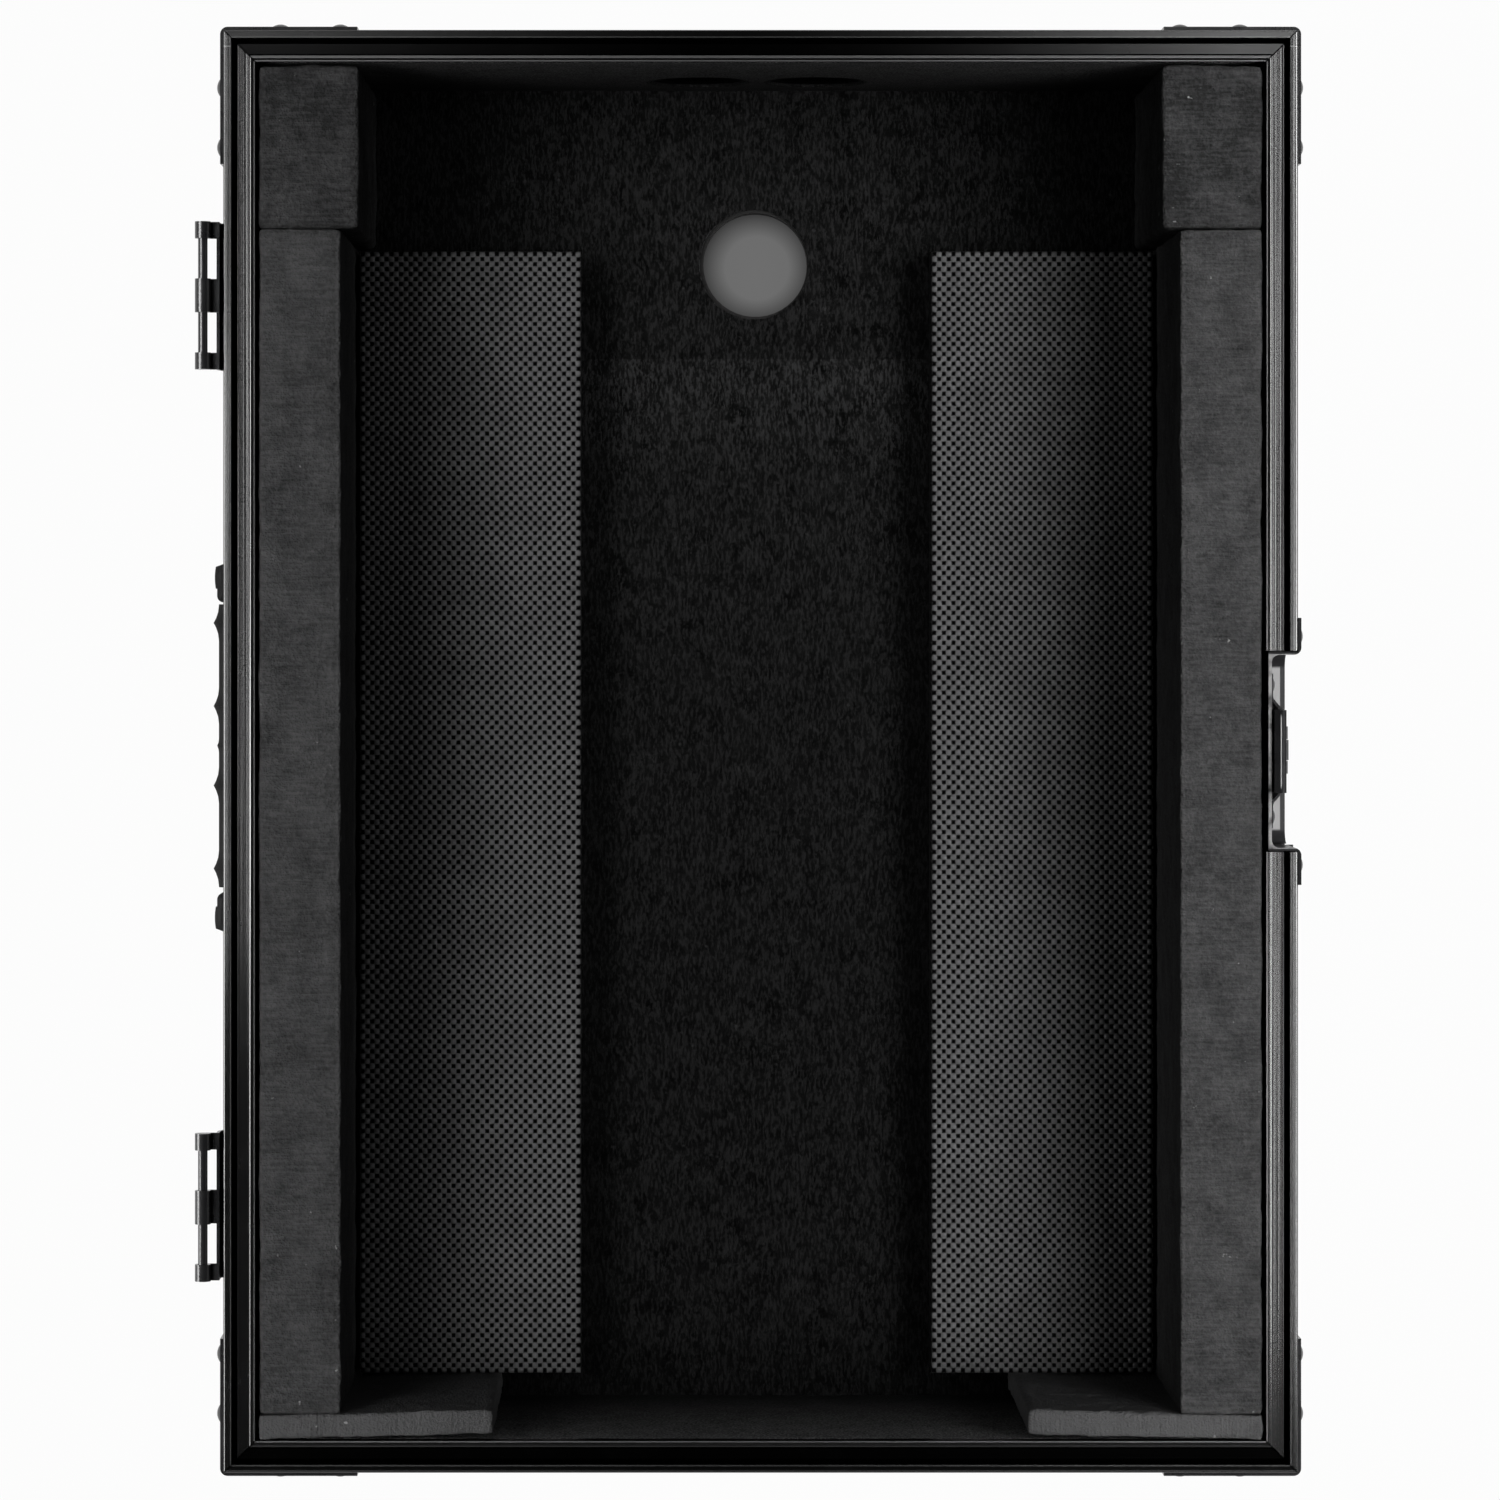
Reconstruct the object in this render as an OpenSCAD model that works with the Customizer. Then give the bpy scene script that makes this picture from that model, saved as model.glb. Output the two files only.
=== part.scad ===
// Base half of a padded flight case for a table-top audio mixer, with its lid lifted off.
// Lengths are in millimetres. +X is the latch side, +Y the rear (cable) side, +Z is up.
// The origin is the centre of the footprint on the plane that the feet stand on.

/* [Case] */
// Width over the edge angles
case_w = 429; // [420:1:450]
// Length over the edge angles
case_l = 576; // [560:1:600]
// Inside height from the floor lining to the rim
inner_h = 128; // [122:1:140]
// Thickness of the plywood panels
panel_t = 9; // [8:0.5:10]
// Thickness of the felt lining
felt_t = 1.5; // [1:0.1:2]
// Distance of the seam in the floor lining from the rear wall
felt_seam = 115; // [105:1:140]
// Gap between the two pieces of floor lining
felt_joint = 0.3; // [0.2:0.1:0.6]
// Gap between the wall lining and the rim above it
lining_gap = 0.2; // [0.1:0.1:0.5]

/* [Cable ports] */
// Diameter of the port in the floor
floor_port_d = 44; // [30:1:50]
// Distance of the floor port's centre from the rear wall
floor_port_inset = 75; // [60:1:85]
// Diameter of the two ports in the rear wall
rear_port_d = 38; // [25:1:42]
// Distance between the centres of the rear ports
rear_port_pitch = 49; // [46:1:60]
// Depth of the rear ports' centres below the rim
rear_port_drop = 92; // [80:1:94]
// How far the lining is cut back around a port
port_felt_back = 1.2; // [0.5:0.1:2]

/* [Feet] */
// Height of the rubber feet
foot_h = 12; // [10:0.5:16]
// Diameter of the feet where they meet the floor panel
foot_d = 36; // [30:1:44]
// How much each foot narrows towards its tread
foot_taper = 4; // [1:0.5:6]
// Distance of the feet's centres from the sides
foot_inset = 62; // [55:1:80]
// Diameter of the counterbore for the foot's screw
foot_bore_d = 13; // [11:0.5:16]
// Diameter of the foot screw's head
foot_screw_d = 9; // [8:0.5:10]
// Thickness of rubber left above the counterbore
foot_web = 4; // [3:0.5:6]
// Clearance of the screw's shank in the foot, on the diameter
foot_screw_clear = 0.4; // [0.2:0.1:0.6]

/* [Edge angles] */
// Width of each leg of the edge angles
edge_leg = 28; // [24:1:30]
// Thickness of the angles and of the outer leg of the rim
edge_t = 1.5; // [1.2:0.1:2]
// Outside radius of the angles
edge_r = 2.5; // [1.5:0.1:3.5]

/* [Rim section] */
// Height of the outer leg of the rim
rim_leg = 28; // [24:1:30]
// Height of the rim section above the panel
rim_cap = 9.5; // [9:0.5:11]
// Width of the outer lip
rim_lip = 3.2; // [2.8:0.1:3.6]
// Outside radius of the lip
lip_r = 0.8; // [0.4:0.1:1.2]
// Width of the groove that takes the lid's tongue
groove_w = 2.4; // [2:0.1:2.8]
// Depth of the groove
groove_d = 7.8; // [6:0.1:8]
// Drop of the inner ledge below the lip
ledge_drop = 0.8; // [0.4:0.1:1.4]
// Radius of the bead along the inner edge
bead_r = 0.75; // [0.6:0.05:0.9]
// Thickness of the inner leg of the rim
rim_in_t = 1.3; // [1:0.1:1.5]
// Height of the inner leg of the rim
rim_in_leg = 13; // [11:0.5:16]
// How far the fin beside the bead stands in
fin_out = 0.8; // [0.6:0.1:0.9]
// Thickness of the fin, which has a round edge
fin_t = 0.7; // [0.5:0.1:0.9]
// Depth of the fin below the rim
fin_drop = 0.8; // [0.6:0.1:1.2]
// Radius of the lip's inner corner
die_r = 0.3; // [0.2:0.05:0.5]

/* [Foam] */
// Thickness of the two long side blocks
side_foam_t = 32.5; // [29.5:0.5:37.5]
// Thickness of the two rear blocks
rear_foam_t = 40; // [38.5:0.5:50]
// Length of the rear blocks along the case
rear_foam_l = 65; // [55:1:75]
// Gap between the foam and the lined walls
foam_gap = 2; // [1:0.1:3]
// Gap between foam pieces that stand side by side
foam_joint = 0.6; // [0.4:0.1:1]
// Depth of the foam's top below the rim
foam_drop = 3; // [2:0.5:8]
// Thickness of the front strips
strip_t = 9.6; // [8:0.1:12]
// Gap between the front strips and the lined front wall
strip_gap = 0.8; // [0.7:0.1:1.2]
// Length of each front strip
strip_l = 93.5; // [80:0.5:100]
// Width of the two textured floor pads
pad_w = 92.5; // [85:0.5:98]
// Thickness of the floor pads
pad_t = 25; // [18:1:30]
// Gap around the outer edges of the pads
pad_gap = 2; // [1.5:0.1:3]

/* [Corner hardware] */
// Length of each leg of the rim corner braces
brace_leg = 53.5; // [45:0.5:60]
// Height of the corner braces
brace_h = 26; // [22:0.5:28]
// Thickness of the stamped corner pieces
brace_t = 1.3; // [1:0.1:1.6]
// Outside radius of the corner braces
brace_r = 3; // [2:0.1:3.4]
// Distance of the first brace rivet from the corner
brace_rivet_a = 22; // [20:0.5:26]
// Distance of the second brace rivet from the corner
brace_rivet_b = 46; // [40:0.5:47]
// Reach of each plate of the ball corners
ball_leg = 46; // [42:0.5:52]
// Radius of the ball
ball_r = 14; // [12:0.5:15]
// How far the ball's centre lies inside the faces
ball_in = 8; // [7:0.5:9]

/* [Rivets] */
// Diameter of the rivet heads
rivet_d = 9; // [7:0.5:10]
// Height of the rivet heads
rivet_h = 2.2; // [1.5:0.1:3]
// Distance between the rivets along the edge angles
rivet_pitch = 150; // [120:5:180]
// Places of the rivets on a ball corner's plates, as shares of the plates' reach
ball_rivet_far = 0.72; // [0.68:0.01:0.74]
// The nearer of the two
ball_rivet_near = 0.34; // [0.32:0.01:0.38]
// Place of the rivets across an edge angle, as a share of its leg
edge_rivet_share = 0.6; // [0.5:0.05:0.7]
// Diameter of the rivets in the latch bracket's feet
bracket_rivet_d = 7.2; // [6:0.1:7.5]
// Height of the rivets in the latch bracket's feet
bracket_rivet_h = 1.54; // [1.2:0.02:1.8]
// Distance of these rivets from the bracket's edges
bracket_rivet_in = 6; // [4:0.5:8]

/* [Hinges] */
// Distance of each hinge's middle from the end of the case
hinge_inset = 106; // [96:1:125]
// Length of the two end knuckles
knuckle_end = 6.7; // [6:0.1:8]
// Length of the middle knuckle
knuckle_mid = 13.4; // [11:0.1:16]
// Length of each bare stretch of pin
pin_bare = 16.1; // [14:0.1:18]
// Diameter of the hinge pin
pin_d = 3.8; // [3:0.1:4]
// Clearance between pin and knuckle, on the radius
pin_clear = 0.05; // [0.02:0.01:0.1]
// Thickness of the hinge leaf and its knuckles
leaf_t = 1.2; // [1:0.1:1.4]
// Height of the leaf below the rim
leaf_drop = 27; // [24:0.5:27.5]
// Distance of the pin's axis from the rim's outer face
pin_out = 8.2; // [7.8:0.1:9.5]
// Depth of the pin's axis below the rim
pin_drop = 1; // [0:0.1:2]
// How far the upper leaf is set out from the rim
leaf_set = 1.8; // [1:0.1:2.2]
// Height of the leaf below the rim that lies against the leg
leaf_seat = 15; // [13:0.5:17]
// Distance between the rivets of a hinge
hinge_rivet_pitch = 20; // [16:1:23]

/* [Handle] */
// Length of the handle's plate
plate_l = 154; // [148:1:160]
// Height of the handle's plate
plate_h = 80; // [76:1:82]
// Corner radius of the plate
plate_r = 12; // [6:1:16]
// Width of the plate's flange at each end of the recess
plate_flange = 15; // [13:0.5:17]
// Height of the recess
recess_h = 52; // [48:1:56]
// Corner radius of the recess
recess_r = 9; // [5:0.5:12]
// Thickness of the stamped plates
sheet_t = 1.3; // [1:0.1:1.5]
// Diameter of the bail's rod
rod_d = 5.4; // [5.2:0.1:5.6]
// Radius of the bail's bends, at the rod's axis
bail_r = 3.2; // [3:0.1:3.4]
// Room between each leg of the bail and its ear
leg_gap = 0.2; // [0.15:0.05:0.3]
// Length of the bail's legs, between the axes
bail_leg = 31; // [27:0.5:31.5]
// Height of the pivot above the middle of the plate
pivot_up = 14; // [14:0.5:18]
// Distance of the pivot from the panel's outer face
pivot_out = 6; // [5.9:0.1:6.4]
// Distance of each pivot ear's middle from the plate's end
ear_in = 7.4; // [7.2:0.1:7.6]
// Width of each pivot ear
ear_w = 9; // [7:0.5:9]
// Thickness of the ear around the rod, at its middle
ear_t = 0.9; // [0.8:0.1:1.1]
// Thickness of the ear around the rod, at its ends
ear_end_t = 0.5; // [0.4:0.1:0.8]
// How far the ear's foot runs on along the plate
ear_foot = 2.5; // [1.5:0.5:2.5]
// Height of the ear's foot
ear_foot_h = 0.6; // [0.4:0.1:1]
// Gap of the ear over the plate, which the paint fills
ear_seat = 0.1; // [0.05:0.05:0.2]
// Clearance of the rod in its ears, on the radius
ear_clear = 0.05; // [0.02:0.01:0.1]
// Wall that closes the outer end of each ear
ear_cap = 1.4; // [1:0.1:2]
// Room between the rod's end and that wall
stub_end = 0.3; // [0.2:0.1:0.6]
// Diameter of the rubber grip between its ridges
grip_d = 9.2; // [8.6:0.2:9.8]
// Room between each end of the grip and the bail's bend
grip_end = 0.25; // [0.2:0.05:2]
// Height of the grip's finger ridges
ridge_h = 2.2; // [1.4:0.1:2.4]
// Half width of a finger ridge at its foot
ridge_w = 7.5; // [5:0.5:8]
// Distance of the inner ridges from the middle of the grip
ridge_a = 16.5; // [14:0.5:20]
// Distance of the outer ridges from the grip's ends
ridge_end = 7.75; // [7:0.25:12]
// Height of the small ring in the middle of the grip
ring_h = 0.7; // [0.4:0.1:1]
// Half width of the small ring
ring_w = 3; // [2:0.5:4]
// Distance of the inner plate rivets from the middle
plate_rivet_a = 18.5; // [14:0.5:24]
// Distance of the outer plate rivets from the plate's ends
plate_rivet_in = 11; // [10:0.5:14]

/* [Latch] */
// Width of the latch dish's flange
latch_w = 106.6; // [102:0.2:112]
// Height of the latch dish's flange
latch_h = 57; // [55:0.5:60]
// Width of the recess
mouth_w = 77; // [73:0.5:79]
// Height of the recess below the rim
mouth_h = 44; // [43.5:0.5:45]
// Slope of the mouth's lower wall, in degrees, down to the outside
dish_draft = 18; // [10:1:20]
// Radius of the recess's inner corners
mouth_r = 3; // [2:0.1:3.5]
// Radius of the recess's lower corners
mouth_low_r = 6; // [4:0.5:8]
// Gap between the dish and the cut in rim and panel
mouth_gap = 0.4; // [0.3:0.1:0.8]
// Thickness of the claw
claw_t = 1.8; // [1.5:0.1:2]
// Width of the claw
claw_w = 33; // [28:0.5:33]
// Gap between the claw and the dish
claw_gap = 0.4; // [0.3:0.05:0.6]
// Height of the claw's hook above the rim
hook_up = 4; // [3:0.1:5]
// Thickness of the hook's tip
hook_tip_t = 1.6; // [1.4:0.1:1.7]
// Space between the hook and the front of the bearing bracket
hook_clear = 0.7; // [0.6:0.1:0.8]
// Height of the claw's step above the bracket's upper edge
claw_step_up = 5; // [4.8:0.1:5.2]
// Height of the claw's tail above the bracket's lower edge
claw_tail = 2; // [1.5:0.1:3]
// Offset between the inner and outer bends of the claw's step
claw_bend = 0.4; // [0.3:0.05:0.5]
// How far the claw rises
claw_lift = 8; // [6:0.2:8]
// Depth of the turning axis below the rim
spindle_drop = 21; // [20.5:0.1:21.5]
// Diameter of the spindle in its bearing
spindle_d = 8; // [7:0.1:8.4]
// Clearance of the spindle in its bearing, on the radius
spindle_clear = 0.04; // [0.02:0.01:0.1]
// Diameter of the crank disc
crank_d = 15; // [14.4:0.1:16]
// Thickness of the crank disc
crank_t = 1; // [0.8:0.1:1.2]
// Diameter of the crank pin
crank_pin_d = 5; // [4:0.1:5]
// Room for the crank pin in the claw's slot
slot_play = 1.1; // [1:0.05:1.3]
// Space between moving plates of the latch
plate_gap = 0.2; // [0.15:0.05:0.3]
// Half width of the flat of the bearing bracket
bracket_flat = 16; // [15:0.5:17]
// Width over which the bracket's legs slope to the dish
bracket_slope = 6; // [5:0.5:7]
// Width of the bracket's feet
bracket_foot = 9; // [8:0.5:10]
// Depth of the bracket's upper edge below the rim
bracket_top = 7; // [6.5:0.1:7.5]
// Depth of the bracket's lower edge below the rim
bracket_low = 37; // [34:0.5:38]
// Radius swept by the folding wing
wing_r = 19; // [17:0.1:19.5]
// Thickness of the wing
wing_t = 1.8; // [1.4:0.1:2]
// Diameter of the wing's cross pin
wing_pin_d = 2; // [1.6:0.1:2.2]
// Clearance of the cross pin, on the radius
wing_clear = 0.04; // [0.02:0.01:0.1]
// Distance of the cross pin from the dish's floor
wing_out = 7; // [6.8:0.1:7.4]
// Thickness of the wing's knuckles around the pin
wing_knuckle_t = 0.8; // [0.7:0.05:0.9]
// Width over the wing's two knuckles
wing_knuckle_w = 19; // [18:0.5:20]
// Thickness of the spindle's lug around the pin
lug_t = 1.1; // [1:0.05:1.2]
// Width of the spindle's lug
lug_w = 8.2; // [8:0.1:8.4]
// Room for the lug in the wing's slot
lug_play = 0.6; // [0.5:0.1:0.8]
// Depth of the wing's slot below the lug
wing_slot_d = 1.2; // [1:0.1:1.5]

/* [Hidden] */
$fn = 48;
eps = 0.01;
over = 1;

// Outer faces of the case, of the panels, and inner faces of panels and lining
ox = case_w / 2;
oy = case_l / 2;
px = ox - edge_t;
py = oy - edge_t;
ix = px - panel_t;
iy = py - panel_t;
fx = ix - felt_t;
fy = iy - felt_t;

// Heights
z_floor = foot_h;
z_edge = z_floor - edge_t;
z_in = z_floor + panel_t;
z_felt = z_in + felt_t;
z_rim = z_felt + inner_h;
z_wall = z_rim - rim_cap;
z_leg = z_rim - rim_leg;
rim_w = edge_t + panel_t + rim_in_t;
z_lining = z_rim - rim_in_leg - lining_gap;
z_foam = z_rim - foam_drop;

// Foam and pads
foam_x = fx - foam_gap;
foam_y = fy - foam_gap;
bay_x = foam_x - side_foam_t;
rear_bay_x = foam_x - rear_foam_t;
rear_foam_y = foam_y - rear_foam_l;
side_foam_y1 = rear_foam_y - foam_joint;
strip_y = fy - strip_gap;
side_foam_y0 = -strip_y + strip_t + foam_joint;
pad_x = bay_x - pad_gap;
pad_y1 = side_foam_y1 - pad_gap;
pad_y0 = side_foam_y0 + pad_gap;

// Hinge
hinge_y = oy - hinge_inset;
knuckle_r = pin_d / 2 + pin_clear + leaf_t;
hinge_l = 2 * knuckle_end + knuckle_mid + 2 * pin_bare;

// Handle, in its own frame: x out of the panel, z about the middle of the plate
handle_z = (z_edge + edge_leg + z_leg) / 2;
ear_r = rod_d / 2 + ear_clear + ear_t;
recess_l = plate_l - 2 * plate_flange;
plate_rivet_b = plate_l / 2 - plate_rivet_in;
ear_y = plate_l / 2 - ear_in;
bail_y = ear_y - ear_w / 2 - leg_gap - rod_d / 2;
grip_l = 2 * (bail_y - bail_r - grip_end);
ridge_b = grip_l / 2 - ridge_end;

// Latch, in its own frame: x out of the dish's floor, z down from the rim
crank_e = claw_lift / 2;
claw_x1 = claw_gap + claw_t;
crank_x0 = claw_x1 + plate_gap;
crank_x1 = crank_x0 + crank_t;
bracket_x = crank_x1 + plate_gap;
bracket_x1 = bracket_x + sheet_t;
hook_x1 = bracket_x1 + hook_clear;
hook_x0 = hook_x1 - claw_t;
slot_h = crank_pin_d + 2 * slot_play;
slot_w = 2 * crank_e + crank_pin_d + 2 * slot_play;
wing_knuckle_r = wing_pin_d / 2 + wing_clear + wing_knuckle_t;
lug_r = wing_pin_d / 2 + wing_clear + lug_t;
wing_slot = lug_w + lug_play;
// Radius of the wing's lobes, and their places out and down, as shares
lobe_share = 0.47;
lobe_out = 0.95;
lobe_down = 1.05;
dish_out = ox + sheet_t - ix;

black_metal = [0.10, 0.10, 0.11];
black_paint = [0.14, 0.14, 0.15];
black_laminate = [0.08, 0.08, 0.08];
felt_black = [0.05, 0.05, 0.05];
foam_grey = [0.22, 0.22, 0.23];
pad_grey = [0.28, 0.28, 0.28];
rubber_black = [0.06, 0.06, 0.06];

// Helpers

// A box given by its two opposite corners
module block(a, b) {
  translate(a) cube(b - a);
}

// A rectangle with rounded corners about the origin
module round_rect(w, h, r) {
  square([w - 2 * r, h], center = true);
  square([w, h - 2 * r], center = true);
  for (x = [-1, 1], y = [-1, 1])
    translate([x * (w / 2 - r), y * (h / 2 - r)]) circle(r);
}

// Turns a flat outline so that its x runs along +Y and its y along +Z, and thickens it along +X
module along_x(h) {
  rotate([90, 0, 90]) linear_extrude(h) children();
}

// Thickens an outline, drawn in X and Z, along +Y about the origin
module along_y(h) {
  translate([0, h / 2, 0]) rotate([90, 0, 0]) linear_extrude(h) children();
}

// A domed rivet head on the plane z = 0
module rivet_head(d = rivet_d, h = rivet_h) {
  ball = (d * d / 4 + h * h) / (2 * h);
  intersection() {
    translate([0, 0, h - ball]) sphere(ball);
    cylinder(d = d, h = h);
  }
}

module rivet_x(d = rivet_d, h = rivet_h) {
  rotate([0, 90, 0]) rivet_head(d, h);
}

module rivet_y(d = rivet_d, h = rivet_h) {
  rotate([-90, 0, 0]) rivet_head(d, h);
}

module rivet_down() {
  rotate([180, 0, 0]) rivet_head();
}

// Panels

module floor_panel() {
  color(black_laminate) difference() {
    block([-px, -py, z_floor], [px, py, z_in]);
    translate([0, iy - floor_port_inset, z_floor - over])
      cylinder(d = floor_port_d, h = panel_t + 2 * over);
  }
}

module wall_left() {
  color(black_laminate) difference() {
    block([-px, -py, z_in], [-ix, py, z_wall]);
    translate([-px - over, 0, handle_z]) along_x(panel_t + 2 * over)
      round_rect(recess_l + 2 * (sheet_t + mouth_gap), recess_h + 2 * (sheet_t + mouth_gap),
                 recess_r + sheet_t);
  }
}

module wall_right() {
  half = mouth_w / 2 + sheet_t + mouth_gap;
  color(black_laminate) difference() {
    block([ix, -py, z_in], [px, py, z_wall]);
    block([ix - over, -half, z_rim - mouth_h - sheet_t - mouth_gap], [px + over, half, z_wall + over]);
  }
}

module wall_front() {
  color(black_laminate) block([-ix, -py, z_in], [ix, -iy, z_wall]);
}

module rear_ports(d) {
  for (s = [-1, 1])
    translate([s * rear_port_pitch / 2, py + over, z_rim - rear_port_drop])
      rotate([90, 0, 0]) cylinder(d = d, h = panel_t + felt_t + 2 * over);
}

module wall_rear() {
  color(black_laminate) difference() {
    block([-ix, iy, z_in], [ix, py, z_wall]);
    rear_ports(rear_port_d);
  }
}

// Rim: x runs inwards from the outer face, y up from the rim
module rim_section() {
  difference() {
    union() {
      translate([0, -rim_cap]) square([rim_w, rim_cap - ledge_drop]);
      hull() {
        translate([0, -rim_cap]) square([rim_lip, rim_cap / 2]);
        translate([lip_r, -lip_r]) circle(lip_r);
        translate([rim_lip - die_r, -die_r]) circle(die_r, $fn = 24);
      }
      translate([rim_w - 2 * bead_r, -rim_cap]) square([2 * bead_r, rim_cap - bead_r]);
      translate([rim_w - bead_r, -bead_r]) circle(bead_r);
      translate([0, -rim_leg]) square([edge_t, rim_leg - lip_r]);
      translate([rim_w - rim_in_t, -rim_in_leg]) square([rim_in_t, rim_in_leg - bead_r]);
      hull() {
        translate([rim_w - rim_in_t, -fin_drop - fin_t]) square([rim_in_t, fin_t]);
        translate([rim_w + fin_out - fin_t / 2, -fin_drop - fin_t / 2]) circle(d = fin_t, $fn = 24);
      }
    }
    translate([rim_lip, -groove_d]) square([groove_w, groove_d + over]);
  }
}

// A rim bar along Y on the left side, mitred at both ends
module rim_bar(half_w, half_l) {
  reach = rim_w + fin_out;
  intersection() {
    translate([-half_w, 0, z_rim]) along_y(2 * half_l) rim_section();
    translate([0, 0, z_rim - rim_leg - over]) linear_extrude(rim_leg + 2 * over)
      polygon([[-half_w, -half_l], [-half_w + reach, -half_l + reach],
               [-half_w + reach, half_l - reach], [-half_w, half_l]]);
  }
}

module rim_left() {
  color(black_metal) rim_bar(ox, oy);
}

module rim_rear() {
  color(black_metal) rotate([0, 0, -90]) rim_bar(oy, ox);
}

module rim_front() {
  color(black_metal) rotate([0, 0, 90]) rim_bar(oy, ox);
}

module rim_right_half(s) {
  cut = mouth_w / 2 + sheet_t + mouth_gap;
  intersection() {
    mirror([1, 0, 0]) rim_bar(ox, oy);
    block([0, s > 0 ? cut : -oy - over, 0], [ox + over, s > 0 ? oy + over : -cut, z_rim + over]);
  }
}

module rim_right_rear() {
  color(black_metal) rim_right_half(1);
}

module rim_right_front() {
  color(black_metal) rim_right_half(-1);
}

// Edge angles

module angle_section() {
  difference() {
    union() {
      translate([edge_r, 0]) square([edge_leg - edge_r, edge_leg]);
      translate([0, edge_r]) square([edge_leg, edge_leg - edge_r]);
      translate([edge_r, edge_r]) circle(edge_r);
    }
    translate([edge_t, edge_t]) square(edge_leg);
  }
}

module side_edge() {
  translate([-ox, 0, z_edge]) along_y(2 * py) angle_section();
}

module edge_left() {
  color(black_metal) side_edge();
}

module edge_right() {
  color(black_metal) mirror([1, 0, 0]) side_edge();
}

// The floor leg of the end angles stops where the side angles lie
module end_edge() {
  difference() {
    rotate([0, 0, -90]) translate([-oy, 0, z_edge]) along_y(2 * px) angle_section();
    for (s = [-1, 1])
      translate([s * (ox - edge_leg / 2), 0, z_edge])
        block([-edge_leg / 2, py - edge_leg, -over], [edge_leg / 2, py, edge_t + over]);
  }
}

module edge_rear() {
  color(black_metal) end_edge();
}

module edge_front() {
  color(black_metal) mirror([0, 1, 0]) end_edge();
}

module post() {
  translate([-ox, oy, z_edge + edge_leg]) mirror([0, 1, 0])
    linear_extrude(z_leg - z_edge - edge_leg) angle_section();
}

module post_left_rear() {
  color(black_metal) post();
}

module post_right_rear() {
  color(black_metal) mirror([1, 0, 0]) post();
}

module post_left_front() {
  color(black_metal) mirror([0, 1, 0]) post();
}

module post_right_front() {
  color(black_metal) mirror([1, 0, 0]) mirror([0, 1, 0]) post();
}

// Ball corner: three quarter-round plates and a ball, drawn out of the corner at (-x, +y, bottom)
module ball_corner() {
  inside = 2 * ball_leg;
  translate([-ox, oy, z_edge]) difference() {
    union() {
      translate([-brace_t, 0, 0]) along_x(brace_t) mirror([1, 0]) quarter_plate();
      translate([0, brace_t, 0]) rotate([90, 0, 0]) linear_extrude(brace_t) quarter_plate();
      translate([0, 0, -brace_t]) linear_extrude(brace_t) mirror([0, 1]) quarter_plate();
      translate([ball_in, -ball_in, ball_in]) sphere(ball_r);
    }
    block([0, -inside, 0], [inside, 0, inside]);
  }
}

module quarter_plate() {
  intersection() {
    circle(ball_leg, $fn = 96);
    translate([-brace_t, -brace_t]) square(ball_leg + brace_t);
  }
}

module ball_left_rear() {
  color(black_paint) ball_corner();
}

module ball_right_rear() {
  color(black_paint) mirror([1, 0, 0]) ball_corner();
}

module ball_left_front() {
  color(black_paint) mirror([0, 1, 0]) ball_corner();
}

module ball_right_front() {
  color(black_paint) mirror([1, 0, 0]) mirror([0, 1, 0]) ball_corner();
}

// Corner brace around the outside of a rim corner
module brace() {
  translate([-ox, oy, z_rim - brace_h - over]) mirror([0, 1, 0]) linear_extrude(brace_h)
    difference() {
      translate([-brace_t, -brace_t]) union() {
        translate([brace_r, 0]) square([brace_leg + brace_t - brace_r, brace_leg]);
        translate([0, brace_r]) square([brace_leg, brace_leg + brace_t - brace_r]);
        translate([brace_r, brace_r]) circle(brace_r);
      }
      square(2 * brace_leg);
    }
}

module brace_left_rear() {
  color(black_paint) brace();
}

module brace_right_rear() {
  color(black_paint) mirror([1, 0, 0]) brace();
}

module brace_left_front() {
  color(black_paint) mirror([0, 1, 0]) brace();
}

module brace_right_front() {
  color(black_paint) mirror([1, 0, 0]) mirror([0, 1, 0]) brace();
}

// Hinge, with x out of the rim's outer face and y up from the rim

module leaf_section() {
  polygon([[0, -leaf_drop], [leaf_t, -leaf_drop], [leaf_t, -leaf_seat],
           [leaf_set + leaf_t, -leaf_seat + 2 * leaf_set], [leaf_set + leaf_t, -pin_drop - knuckle_r],
           [leaf_set, -pin_drop - knuckle_r], [leaf_set, -leaf_seat + 2 * leaf_set], [0, -leaf_seat]]);
}

module knuckle_section() {
  difference() {
    union() {
      translate([pin_out, -pin_drop]) circle(knuckle_r);
      translate([leaf_set, -pin_drop - knuckle_r]) square([pin_out - leaf_set, leaf_t]);
    }
    translate([pin_out, -pin_drop]) circle(pin_d / 2 + pin_clear);
  }
}

module hinge_place(s) {
  translate([-ox, s * hinge_y, z_rim]) mirror([1, 0, 0]) children();
}

module hinge_leaf(s) {
  step = knuckle_mid / 2 + pin_bare + knuckle_end / 2;
  hinge_place(s) {
    along_y(hinge_l) leaf_section();
    along_y(knuckle_mid) knuckle_section();
    for (e = [-1, 1]) translate([0, e * step, 0]) along_y(knuckle_end) knuckle_section();
  }
}

module hinge_pin(s) {
  hinge_place(s) translate([pin_out, 0, -pin_drop]) rotate([90, 0, 0])
    cylinder(d = pin_d, h = hinge_l, center = true);
}

module hinge_leaf_rear() {
  color(black_paint) hinge_leaf(1);
}

module hinge_leaf_front() {
  color(black_paint) hinge_leaf(-1);
}

module hinge_pin_rear() {
  color(black_paint) hinge_pin(1);
}

module hinge_pin_front() {
  color(black_paint) hinge_pin(-1);
}

// Latch, with x out of the dish's floor and z down from the rim

module latch_place() {
  translate([ix, 0, z_rim]) children();
}

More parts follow.
